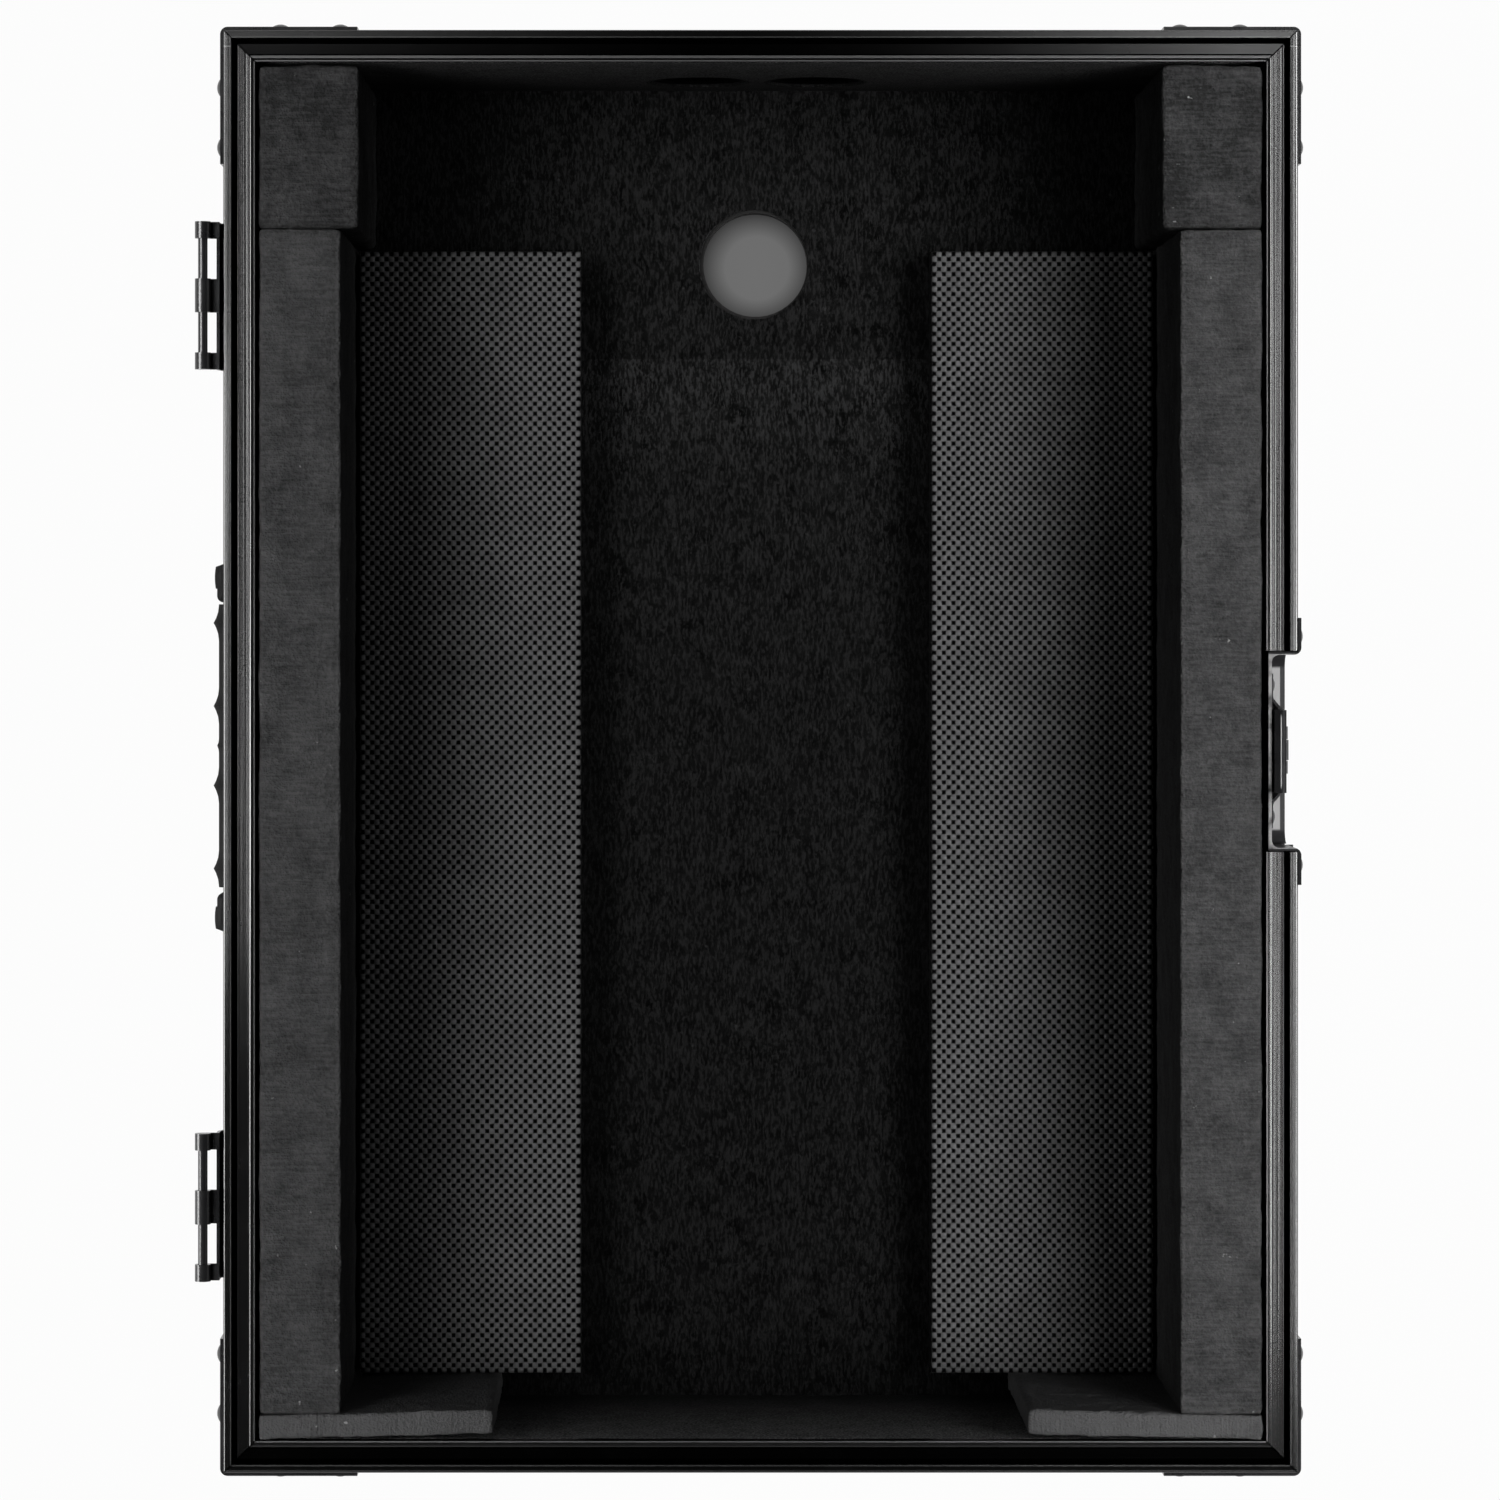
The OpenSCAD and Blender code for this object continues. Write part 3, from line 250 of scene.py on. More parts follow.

# %% [markdown]
# ## Floor
# The ground in the photograph is pure white, and yet it has a shadow. So the plane is matt for the
# light, and glows for the rays that the eye sees it by: from the camera, from a reflection, or
# through something clear. Under the case the glow is nearly black, which is painted shade, and a
# soft painted pool of light lies where light would fall through the port in the floor.

# %% White floor with a shadow
PAINTED_SHADE_HALF_X, PAINTED_SHADE_HALF_Y = 0.200, 0.274
PAINTED_POOL_X, PAINTED_POOL_Y = 0.001, 0.2025
bpy.ops.object.select_all(action="DESELECT")
bpy.ops.mesh.primitive_plane_add(size=12, location=(0, 0, 0))
floor = bpy.context.object
floor.name = "studio_floor"
floor_finish = bpy.data.materials.new("studio_floor_paint")
floor_finish.use_nodes = True
paint = Strand(floor_finish.node_tree)
paint.tree.nodes.remove(paint.tree.nodes["Principled BSDF"])
spot = paint.node("ShaderNodeTexCoord", out="Object").axes()
outside = paint.sum("MAXIMUM", abs(spot["X"]) - PAINTED_SHADE_HALF_X, abs(spot["Y"]) - PAINTED_SHADE_HALF_Y)
from_painted_pool = ((spot["X"] - PAINTED_POOL_X) ** 2.0 + (spot["Y"] - PAINTED_POOL_Y) ** 2.0) ** 0.5
# White glow outside the case; under it a dim glow that is painted shade, with a painted pool of light
# below the floor port.
glow = outside.limit(0.0, 0.006) * 0.975 + from_painted_pool.limit(0.0245, 0.0135) * 0.125 + 0.025
rays = paint.node("ShaderNodeLightPath").socket.node.outputs
seen = Strand(paint.tree, rays["Is Camera Ray"]) + Strand(paint.tree, rays["Is Glossy Ray"])
seen = (seen + Strand(paint.tree, rays["Is Transmission Ray"])).limit(0.0, 1.0)
matt = paint.node("ShaderNodeBsdfDiffuse", None, {"Color": (0.15, 0.15, 0.15, 1)})
white = paint.node("ShaderNodeEmission", None, {"Color": (1, 1, 1, 1), "Strength": glow})
both = paint.node("ShaderNodeMixShader", None, {0: seen * 0.97, 1: matt, 2: white})
paint.tree.links.new(both.socket, paint.tree.nodes["Material Output"].inputs["Surface"])
floor.data.materials.append(floor_finish)
print("floor laid")

# %% [markdown]
# ## Laminate on the panels
# Flight-case panels are plywood with a hard black laminate. Up close it has a fine pebble grain
# and a few duller patches from handling. A cell pattern at just under a millimetre gives the grain
# as a bump, and a slow noise varies the gloss.

# %% Laminate
laminate, shader, start = new_finish("black_laminate", IOR=1.5)
place = stretched(start)
patches = specks(place, 9, 4, 0.6)
pebbles = cells(place, 1150, "SMOOTH_F1")
dust = specks(place, 420, 2, 0.6).limit(0.62, 0.80)
dusty = patches.limit(0.35, 0.7) * 0.6 + dust * 0.4
feed(shader,
     Base_Color=dusty.blend((0.013, 0.013, 0.014), (0.026, 0.026, 0.027)),
     Roughness=0.36 + 0.22 * patches,
     Normal=raised(pebbles, 0.35, 0.0004))
print("finish:", laminate.name)

# %% [markdown]
# Where a port is cut through a panel the edge of the plywood is stained black, and its plies still
# show in stripes. The stain runs out over the laminate by a millimetre or so, up to the felt. That
# ring is found by its distance from the port's axis. The rear wall's ports are seen at a flat
# angle, at which any gloss would light them up, so their stain has none.

# %% Stained plywood in the ports
FLOOR_PORT_Y, FLOOR_PORT_R = 0.2025, 0.022
REAR_PORT_X, REAR_PORT_Z, REAR_PORT_R = 0.0245, 0.0585, 0.019
STAIN = 0.0016
PLIES_PER_METRE = 650


def ported_laminate(name, axis, centres, radius):
    """Laminate with stained plywood on the wall of each round port."""
    finish = laminate.copy()
    finish.name = name
    tree = finish.node_tree
    shader = tree.nodes["Principled BSDF"]
    spot = Strand(tree).node("ShaderNodeTexCoord", out="Object")
    along = spot.axes()
    u, v = [along[n] for n in "XYZ" if n != axis]
    bare = None
    for cu, cv in centres:
        inside = 1 - (((u - cu) ** 2.0 + (v - cv) ** 2.0) > (radius + STAIN) ** 2)
        bare = inside if bare is None else bare + inside
    ply = along[axis] * PLIES_PER_METRE
    stripes = (ply.sum("FRACT", ply) > 0.5) * 0.6
    stripes = (stripes + specks(spot, 300, 3) * 0.5).limit(0.1, 0.9)
    wood = stripes.blend((0.0006, 0.0006, 0.0006), (0.004, 0.0039, 0.0038))
    old = Strand(tree, shader.inputs["Base Color"].links[0].from_socket)
    gloss = Strand(tree, shader.inputs["Roughness"].links[0].from_socket)
    feed(shader, Base_Color=bare.blend(old, wood), Roughness=gloss + bare * 0.5)
    if axis == "Y":
        feed(shader, Metallic=bare)
    return finish


floor_laminate = ported_laminate("black_laminate_floor", "Z", [(0.0, FLOOR_PORT_Y)], FLOOR_PORT_R)
rear_ports = [(-REAR_PORT_X, REAR_PORT_Z), (REAR_PORT_X, REAR_PORT_Z)]
rear_laminate = ported_laminate("black_laminate_rear", "Y", rear_ports, REAR_PORT_R)
print("finishes:", floor_laminate.name, rear_laminate.name)

# %% [markdown]
# ## Black extrusion
# The rim bars and edge angles are extruded aluminium, anodised black. The die leaves fine lines
# along each bar, and these spread a reflection across the bar: under lamps at the left and right,
# the bars along the sides shine while those at the front and rear stay black. So the grain is a
# noise that is drawn out along the bar, and its bump is strong. Bars along X and along Y and
# upright posts therefore need one finish each, made by the same function. A pressed bar is never
# quite flat: the lip is crowned, and the ledge rises to the bead in a faint hollow, so both shine
# more at one edge. These slopes are too small for the solid, and join the bump. The lid has
# burnished the bead of the front and rear bars, and the fin inside it, to bare metal. The groove
# for the lid's tongue is painted shade: near black, without gloss. A dark seam shows where the
# mitred ends meet. All of these are found by how far in from the bar's outer face a point lies.

# %% Places on the rim
OUTER_X, OUTER_Y = 0.2145, 0.288
RIM_TOP, GROOVE_FLOOR = 0.1490, 0.1410
LIP_END = 0.0032
LEDGE_START, LEDGE_END, LEDGE_FOOT = 0.0056, 0.0098, 0.0103
BEAD_START, BEAD_END = 0.0102, 0.0113
FIN_START = 0.0121
MITRE = OUTER_X + OUTER_Y
SCRATCH_Y = 0.2814
print("the ledge is", round((LEDGE_END - LEDGE_START) / MM, 1), "mm wide")

# %% [markdown]
# Painted highlights are added to the colour as one value: a thin line along the inner edge of every
# lip, a thin line along the outer edge of the front lips, and on the rear bar a painted reflection of
# the lamps on the lip and ledge that grows towards both ends, on the right more than on the left. The
# side bars also have a short scratch across the lip near the rear corners, in the same value. A
# second value, `dull`, takes the gloss away: a metal shines in its own colour, so a black surface
# that is set to metallic hardly shines. On the front and rear bars it also takes the shine off the
# ledge, except towards the right end of the rear bar, and off a thin line before the bead.


# %% Extrusion
def extrusion(name, run):
    """Anodised aluminium with die lines along the axis that run names."""
    finish, shader, start = new_finish(name, IOR=1.5, Specular_IOR_Level=1.0)
    drawn = {"X": (0.6, 900, 900), "Y": (900, 0.6, 900), "Z": (900, 900, 0.6)}[run]
    lines = specks(stretched(start, drawn), 2.2, 3, 0.6)
    streaks = specks(stretched(start, [v / 5 for v in drawn]), 1.6, 2, 0.5)
    place = stretched(start)
    rubbed = specks(place, 55, 4, 0.65).limit(0.52, 0.78)
    nicks = specks(place, 520, 2, 0.5).limit(0.72, 0.80)

    side = place.axes()
    across, edge, polish = {"X": ("Y", OUTER_Y, 0.15), "Y": ("X", OUTER_X, 0.20),
                            "Z": ("X", 0.0, 0.20)}[run]
    inset = edge - abs(side[across])
    rear = side["Y"] > 0.0
    on_top = side["Z"] > RIM_TOP
    lip = on_top * (1 - (inset > LIP_END))
    ledge = on_top * inset.between(LEDGE_START, LEDGE_END)
    fin = on_top * (inset > FIN_START)
    groove = inset.between(LIP_END - 0.0001, LEDGE_START + 0.0001) * (side["Z"] > GROOVE_FLOOR)
    # Painted shade in the groove: its colour goes near black, its gloss is taken away and it is
    # rougher.
    groove_shade = side["Z"].limit(RIM_TOP + 0.0009, RIM_TOP) * groove
    off_mitre = abs(MITRE - abs(side["X"]) - abs(side["Y"]) - 2 * inset)
    dull = groove_shade + on_top * off_mitre.limit(0.0005, 0.0002)
    # Painted highlight: a thin line along the inner edge of the lip.
    painted_shine_and_scratch = lip * (inset > 0.0027) * 0.035
    if run == "X":
        bead = on_top * inset.between(BEAD_START, BEAD_END)
        burnished = bead * (0.03 + 0.37 * rear) + fin * 0.5
        right = side["X"].limit(-0.02, 0.19) ** 2.0
        left = side["X"].limit(0.0, -0.20) ** 2.0
        # Painted reflection of the lamps on the rear bar's lip and ledge, growing towards both ends.
        painted_shine_and_scratch = painted_shine_and_scratch + rear * lip * (0.070 * right + 0.033 * left)
        painted_shine_and_scratch = painted_shine_and_scratch + rear * ledge * (0.050 * right + 0.030 * left)
        # Painted highlight along the outer edge of the front lips.
        painted_shine_and_scratch = painted_shine_and_scratch + (1 - rear) * lip * (1 - (inset > 0.0012)) * 0.02
        dull = dull + on_top * inset.between(0.0096, BEAD_START)
        dull = dull + ledge * 0.8 * (1 - rear * right)
    else:
        burnished = fin * (0.3 if run == "Y" else 0.5)
        painted_shine_and_scratch = painted_shine_and_scratch + lip * rear * abs(side["Y"] - SCRATCH_Y).limit(0.0004, 0.0002) * 0.06

    lip_in = inset.limit(0.0, LIP_END)
    ledge_in = inset.limit(LEDGE_START, LEDGE_FOOT)
    crown = 2.7 * lip_in - 1.1 * lip_in ** 2.0
    hollow = 1.2 * ledge_in + 0.7 * ledge_in ** 2.0
    grime = (0.35 * lines + 0.3 * rubbed + 0.25 * nicks) * (1 - groove_shade)
    plain = (grime * 0.007 + 0.0008 + painted_shine_and_scratch).grey()
    relief = 0.6 * lines + 0.4 * streaks + on_top * (crown + hollow)
    feed(shader,
         Base_Color=burnished.blend(plain, (0.36, 0.36, 0.365)),
         Metallic=(burnished * 0.95 + dull).limit(0.0, 1.0),
         Roughness=polish + 0.10 * streaks + 0.03 * rubbed + 0.5 * groove_shade,
         Normal=raised(relief, 0.55, 0.0003))
    return finish


bars_along_x = extrusion("black_extrusion_x", "X")
bars_along_y = extrusion("black_extrusion_y", "Y")
posts_up = extrusion("black_extrusion_z", "Z")
print("finishes:", bars_along_x.name, bars_along_y.name, posts_up.name)

# %% [markdown]
# ## Powder-coated steel
# Corners, hinges, latch, handle and rivets are stamped steel under a black powder coat. The coat
# has a soft orange-peel of about a millimetre, and it is a little glossier than the bars.

# %% Steel
steel, shader, start = new_finish("black_steel", IOR=1.5, Specular_IOR_Level=0.7)
place = stretched(start)
peel = specks(place, 850, 2, 0.5)
handled = specks(place, 40, 4, 0.6)
chips = specks(place, 260, 3, 0.7).limit(0.73, 0.80)
worn = handled.limit(0.3, 0.8) * 0.5 + chips * 0.5
feed(shader,
     Base_Color=worn.blend((0.005, 0.005, 0.0055), (0.030, 0.030, 0.031)),
     Roughness=0.20 + 0.16 * handled,
     Normal=raised(peel, 0.10, 0.0006))
print("finish:", steel.name)

# %% [markdown]
# The handle has a duller paint. On the latch the paint is dull too, and worn through along the top
# edge of the dish, where it rubs. Two patches on the dish's floor beside the claw are a painted
# reflection, and one thin line on the claw is a painted highlight along its crest. All are found by
# their place.


# %% Duller paint, worn paint, and painted glints
def changed_steel(name, shine):
    """A copy of the steel finish with less shine, its shader, and a strand to work on."""
    finish = steel.copy()
    finish.name = name
    shader = finish.node_tree.nodes["Principled BSDF"]
    shader.inputs["Specular IOR Level"].default_value = shine
    return finish, shader, Strand(finish.node_tree)


def mix_in_grey(shader, worn, shade):
    """Mixes a flat grey of a shade into the colour where the strand worn is one: bare metal, and also
    painted highlights and reflections.
    """
    old = Strand(worn.tree, shader.inputs["Base Color"].links[0].from_socket)
    feed(shader, Base_Color=worn.blend(old, (shade, shade, shade)))


dull_paint, shader, start = changed_steel("black_steel_dull", 0.10)
rough = specks(stretched(start), 300, 3, 0.6)
feed(shader,
     Base_Color=rough.blend((0.001, 0.001, 0.001), (0.008, 0.008, 0.0082)),
     Roughness=0.48 + 0.2 * rough)

DISH_EDGE_Z, DISH_FLOOR_Z = 0.15035, 0.1130
CLAW_TOP_Z, CLAW_CREST_X = 0.1500, 0.2073
dish_wear_and_glint, shader, start = changed_steel("black_steel_dish", 0.03)
place = stretched(start)
spot = place.axes()
along = abs(spot["Y"])
rubbed = specks(place, 180, 3, 0.6).limit(0.25, 0.55)
mix_in_grey(shader, (spot["Z"] > DISH_EDGE_Z) * rubbed * along.limit(0.0390, 0.0387), 0.20)
# Painted reflection of the lamp on the dish's floor, beside the claw.
painted_reflection = spot["X"].limit(0.2046, 0.2050) * spot["X"].limit(0.2124, 0.2121)
painted_reflection = painted_reflection * along.limit(0.0165, 0.0175) * along.limit(0.0335, 0.0325)
mix_in_grey(shader, painted_reflection * (1 - (spot["Z"] > DISH_FLOOR_Z)), 0.17)

highlit_claw, shader, start = changed_steel("black_steel_claw", 0.05)
spot = stretched(start).axes()
# Painted highlight along the crest of the claw's hook.
crest_highlight = abs(spot["X"] - CLAW_CREST_X).limit(0.00028, 0.00012) * (spot["Z"] > CLAW_TOP_Z)
mix_in_grey(shader, crest_highlight * abs(spot["Y"]).limit(0.0150, 0.0135) * 0.9, 0.36)
print("finishes:", dull_paint.name, dish_wear_and_glint.name, highlit_claw.name)

# %% [markdown]
# ## Rubber
# Feet and grip are moulded black rubber: matt, with a very fine spark-eroded grain from the mould.

# %% Rubber
rubber, shader, start = new_finish("black_rubber", IOR=1.5, Specular_IOR_Level=0.12)
place = stretched(start)
mould = specks(place, 1800, 2, 0.6)
worn = specks(place, 60, 3, 0.6)
feed(shader,
     Base_Color=worn.limit(0.3, 0.8).blend((0.004, 0.004, 0.004), (0.012, 0.012, 0.012)),
     Roughness=0.62 + 0.2 * worn,
     Normal=raised(mould, 0.35, 0.0003))
print("finish:", rubber.name)

# %% [markdown]
# ## Finishes on the solids
# Each hard node keeps its mesh and gets one finish. The names say what each node is made of, so
# the choice is made by the first words of the name.

# %% Give every hard node its finish
FINISH_OF = [
    ("floor_panel", floor_laminate), ("wall_rear", rear_laminate), ("wall_", laminate),
    ("rim_rear", bars_along_x), ("rim_front", bars_along_x), ("rim_", bars_along_y),
    ("edge_front", bars_along_x), ("edge_rear", bars_along_x), ("edge_", bars_along_y),
    ("post_", posts_up), ("handle_grip", rubber), ("feet", rubber),
    ("foot_screws", steel), ("ball_", steel), ("brace_", steel), ("hinge_", steel),
    ("latch_dish", dish_wear_and_glint), ("latch_claw", highlit_claw), ("latch_", steel),
    ("handle_", dull_paint), ("rivets_", steel),
]
dressed = 0
for name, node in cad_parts.items():
    for first_words, finish in FINISH_OF:
        if name.startswith(first_words):
            node.data.materials.clear()
            node.data.materials.append(finish)
            dressed += 1
            break
print("hard nodes with a finish:", dressed)

# %% [markdown]
# ## Felt lining
# The case is lined with a thin black needle felt, glued to the floor and the walls. It has a short
# nap, which lies along the case, with a few pale fibres and bits of lint. On the floor, light is
# painted into its colour, more and more towards the seam behind the middle, where it is palest. High
# on the walls light is painted in too, much paler near the top and less on the rear wall. Around the
# ports in the rear wall a ring is left without it, a painted shade at their cut edge.

# %% Felt finish
SEAM_Y, REAR_WALL_Y = 0.1625, 0.27
felt, shader, start = new_finish("black_felt", Specular_IOR_Level=0.05, Sheen_Weight=0.010,
                                 Sheen_Roughness=0.6)
place = stretched(start)
nap = specks(stretched(start, (1, 0.3, 1)), 1000, 3, 0.7)
tufts = specks(place, 95, 4, 0.65)
lint = specks(place, 330, 2, 0.5).limit(0.70, 0.80)
tangle = tufts.limit(0.34, 0.68) * 0.22 + nap.limit(0.46, 0.59) * 0.62 + lint * 0.9
spot = place.axes()
# Painted light on the floor: paler towards the rear, palest just before the seam.
floor_painted_light = 0.50 + 0.07 * spot["Y"].limit(-0.20, 0.0) + 0.14 * spot["Y"].limit(0.02, 0.095)
floor_painted_light = floor_painted_light + 0.55 * spot["Y"].limit(0.112, 0.152) * (1 - (spot["Y"] > SEAM_Y))
low_felt = (tangle * floor_painted_light).blend((0.0001, 0.0001, 0.0001), (0.0165, 0.0165, 0.0167))
# A painted lit copy of the felt, for the upper walls.
painted_lit_felt = tangle.blend((0.0330, 0.0330, 0.0330), (0.2300, 0.2300, 0.2310))
on_rear_wall = spot["Y"] > REAR_WALL_Y
from_port = ((abs(spot["X"]) - REAR_PORT_X) ** 2.0 + (spot["Z"] - REAR_PORT_Z) ** 2.0) ** 0.5
# Painted shade: a ring around each rear port, where the wall's painted light is left out.
port_painted_shade = from_port.limit(0.0220, 0.0212) * on_rear_wall
# Painted light on the walls, growing with height, weaker on the rear wall.
lift = spot["Z"].limit(0.028, 0.137) ** 1.1 * (1 - 0.35 * on_rear_wall) * (1 - port_painted_shade)
feed(shader,
     Base_Color=lift.blend(low_felt, painted_lit_felt),
     Roughness=0.90 + 0.1 * nap,
     Normal=raised(nap + tufts, 0.8, 0.0012))
print("finish:", felt.name)

# %% [markdown]
# ## Pieces made by hand
# The soft pieces are made as one would make them with the mouse: a primitive is added, its size and
# place go into its mesh, and its modifiers are applied at once.


# %% Helpers for modelling by hand
def start_piece(name):
    """Names the primitive that was just added, puts its size and place into its mesh."""
    piece = bpy.context.object
    piece.name = name
    piece.data.name = name
    bpy.ops.object.transform_apply(location=True, rotation=True, scale=True)
    return piece


def fix_modifiers(piece):
    """Applies every modifier of the piece, from the first to the last."""
    bpy.ops.object.select_all(action="DESELECT")
    piece.select_set(True)
    bpy.context.view_layer.objects.active = piece
    for modifier in list(piece.modifiers):
        bpy.ops.object.modifier_apply(modifier=modifier.name)


def clouds(name, size, depth=2):
    """A soft noise for a Displace modifier, of a grain size in metres."""
    texture = bpy.data.textures.new(name, "CLOUDS")
    texture.noise_scale = size
    texture.noise_depth = depth
    return texture


felt_waves = clouds("felt_waves", 0.045)
print("texture:", felt_waves.name)

# %% [markdown]
# Glued felt lies in very slight waves, and its cut edges are not quite clean. Each sheet is a grid
# that a noise displaces a little, thickened towards the inside of the case, and cut with a round or
# square cutter where a port or the latch's dish goes through. The round cutters' walls waver, with a
# seed for each, so that every run cuts the same edge.


# %% Felt sheets
def felt_sheet(name, centre, size, turn, thick=0.0015):
    """A sheet of felt: its back at centre, size across and along, turned to face the inside."""
    bpy.ops.object.select_all(action="DESELECT")
    cuts = [max(2, round(side / 0.010)) for side in size]
    bpy.ops.mesh.primitive_grid_add(x_subdivisions=cuts[0], y_subdivisions=cuts[1], size=1,
                                    location=centre, rotation=turn)
    bpy.context.object.scale = (size[0], size[1], 1)
    sheet = start_piece(name)
    wave = sheet.modifiers.new("waves", "DISPLACE")
    wave.texture = felt_waves
    wave.texture_coords = "LOCAL"
    wave.mid_level = 0.0
    wave.strength = 0.0004
    body = sheet.modifiers.new("thickness", "SOLIDIFY")
    body.thickness = thick - 0.0003
    body.offset = 1.0
    fix_modifiers(sheet)
    return sheet


def cut_out(sheet, cutter):
    """Cuts the cutter's shape out of the sheet and throws the cutter away."""
    cut = sheet.modifiers.new("cut", "BOOLEAN")
    cut.operation = "DIFFERENCE"
    cut.solver = "EXACT"
    cut.object = cutter
    fix_modifiers(sheet)
    bpy.data.objects.remove(cutter)


def round_cutter(centre, radius, turn, seed):
    """A drum whose wall wavers a little, as a hand-cut hole in felt does."""
    bpy.ops.object.select_all(action="DESELECT")
    bpy.ops.mesh.primitive_cylinder_add(vertices=72, radius=radius, depth=0.02,
                                        location=centre, rotation=turn)
    drum = start_piece("felt_cutter")
    bpy.ops.object.mode_set(mode="EDIT")
    bpy.ops.mesh.select_all(action="SELECT")
    bpy.ops.transform.vertex_random(offset=0.0005, uniform=0.0, normal=0.0, seed=seed)
    bpy.ops.object.mode_set(mode="OBJECT")
    return drum


QUARTER = math.pi / 2
FLAT = (0, 0, 0)
BOARD_Z, WALL_X, WALL_Y = 0.021, 0.204, 0.2775
WALL_Z, WALL_HIGH = 0.0799, 0.1148
floor_main = felt_sheet("felt_floor", (0, -0.0575, BOARD_Z), (0.408, 0.4400), FLAT)
floor_back = felt_sheet("felt_floor_rear", (0, 0.220, BOARD_Z), (0.408, 0.115), FLAT)
cut_out(floor_back, round_cutter((-0.0006, FLOOR_PORT_Y, BOARD_Z), 0.0232, FLAT, 3))
wall_left = felt_sheet("felt_left", (-WALL_X, 0, WALL_Z), (WALL_HIGH, 0.555), (0, QUARTER, 0))
wall_right = felt_sheet("felt_right", (WALL_X, 0, WALL_Z), (WALL_HIGH, 0.555), (0, -QUARTER, 0))
wall_front = felt_sheet("felt_front", (0, -WALL_Y, WALL_Z), (0.405, WALL_HIGH), (-QUARTER, 0, 0))
wall_rear = felt_sheet("felt_rear", (0, WALL_Y, WALL_Z), (0.405, WALL_HIGH), (QUARTER, 0, 0))
for port_x, seed in ((-REAR_PORT_X, 5), (REAR_PORT_X, 8)):
    cut_out(wall_rear, round_cutter((port_x, 0.2768, REAR_PORT_Z), 0.0202, (QUARTER, 0, 0), seed))
bpy.ops.object.select_all(action="DESELECT")
bpy.ops.mesh.primitive_cube_add(size=1, location=(WALL_X, 0, 0.129))
bpy.context.object.scale = (0.02, 0.0804, 0.0484)
cut_out(wall_right, start_piece("dish_cutter"))
for sheet in (floor_main, floor_back, wall_left, wall_right, wall_front, wall_rear):
    low = [round(min(v.co[k] for v in sheet.data.vertices) / MM, 2) for k in range(3)]
    high = [round(max(v.co[k] for v in sheet.data.vertices) / MM, 2) for k in range(3)]
    print(sheet.name, low, high, len(sheet.data.polygons))

# %% [markdown]
# A sheet with a hole also gives the area that is left.

FELT = [
    (floor_main, "lining_floor", (0.408, 0.4397), None, "laid", "floor_panel"),
    (floor_back, "lining_floor_rear", (0.408, 0.115), 0.04523, "laid", "floor_panel"),
    (wall_left, "lining_left", (0.555, 0.1148), None, "stretched", "wall_left"),
    (wall_right, "lining_right", (0.555, 0.1148), 0.06110, "stretched", "wall_right"),
    (wall_front, "lining_front", (0.405, 0.1148), None, "stretched", "wall_front"),
    (wall_rear, "lining_rear", (0.405, 0.1148), 0.04393, "stretched", "wall_rear"),
]
for sheet, node, flat, area, held, carrier in FELT:
    sheet.data.materials.clear()
    sheet.data.materials.append(felt)
    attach(sheet, "case")
    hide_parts(node)
print("felt sheets:", len(FELT))

# %% [markdown]
# ## Sawn foam blocks
# The blocks along the walls are cut from charcoal foam with a band saw. The cut faces show fine saw
# lines and open cells, and the foam is mottled, with a few pale flecks. The rear blocks are
# a little darker and the thin front strips paler. The inner top edges are painted paler, a painted
# highlight where they catch the light.

# %% Foam finish
FOAM_INNER_X, REAR_BLOCK_Y, FOAM_EDGE_Z = 0.1702, 0.2087, 0.1450


def sawn_foam(name, across, paler=0.0):
    """Charcoal foam with saw lines that vary along the axes that across stretches."""
    finish, shader, start = new_finish(name, Specular_IOR_Level=0.10)
    place = stretched(start)
    saw = specks(stretched(start, across), 1.0, 3, 0.6)
    pores = cells(place, 950)
    mottle = specks(place, 70, 4, 0.6)
    crumbs = specks(place, 620, 3, 0.6)
    flecks = specks(place, 240, 2, 0.5).limit(0.745, 0.79)
    spot = place.axes()
    rear = spot["Y"] > REAR_BLOCK_Y
    # Painted highlight along the inner top edge of each block.
    edge_highlight = (abs(spot["X"]) + 0.0075 * rear).limit(FOAM_INNER_X, FOAM_INNER_X - 0.0016)
    edge_highlight = edge_highlight * (spot["Z"] > FOAM_EDGE_Z)
    shade = mottle.limit(0.32, 0.68) * 0.40 + crumbs.limit(0.35, 0.65) * 0.32
    shade = shade + saw.limit(0.35, 0.65) * 0.28 + edge_highlight * 0.25 - rear * 0.27 + paler
    sawn = shade.blend((0.011, 0.011, 0.0112), (0.054, 0.054, 0.0547))
    feed(shader,
         Base_Color=flecks.blend(sawn, (0.17, 0.17, 0.17)),
         Roughness=0.88 + 0.1 * crumbs,
         Normal=raised(pores * 0.5 + crumbs + saw * 0.9, 0.6, 0.0011))
    return finish


foam = sawn_foam("charcoal_foam", (90, 900, 900))
strip_foam = sawn_foam("charcoal_foam_strip", (800, 70, 300), paler=0.5)
print("finishes:", foam.name, strip_foam.name)

# %% [markdown]
# Sawn edges are square but soft, and the faces waver by about half a millimetre. Each block starts as
# a box, is remeshed into small even faces, which rounds its edges by about a millimetre, and is then
# displaced by a slow and a fine noise.

# %% Foam blocks
slow_waver = clouds("foam_slow", 0.018)
fine_waver = clouds("foam_fine", 0.005)


WAVER = 0.0012
SPARE = 0.0001


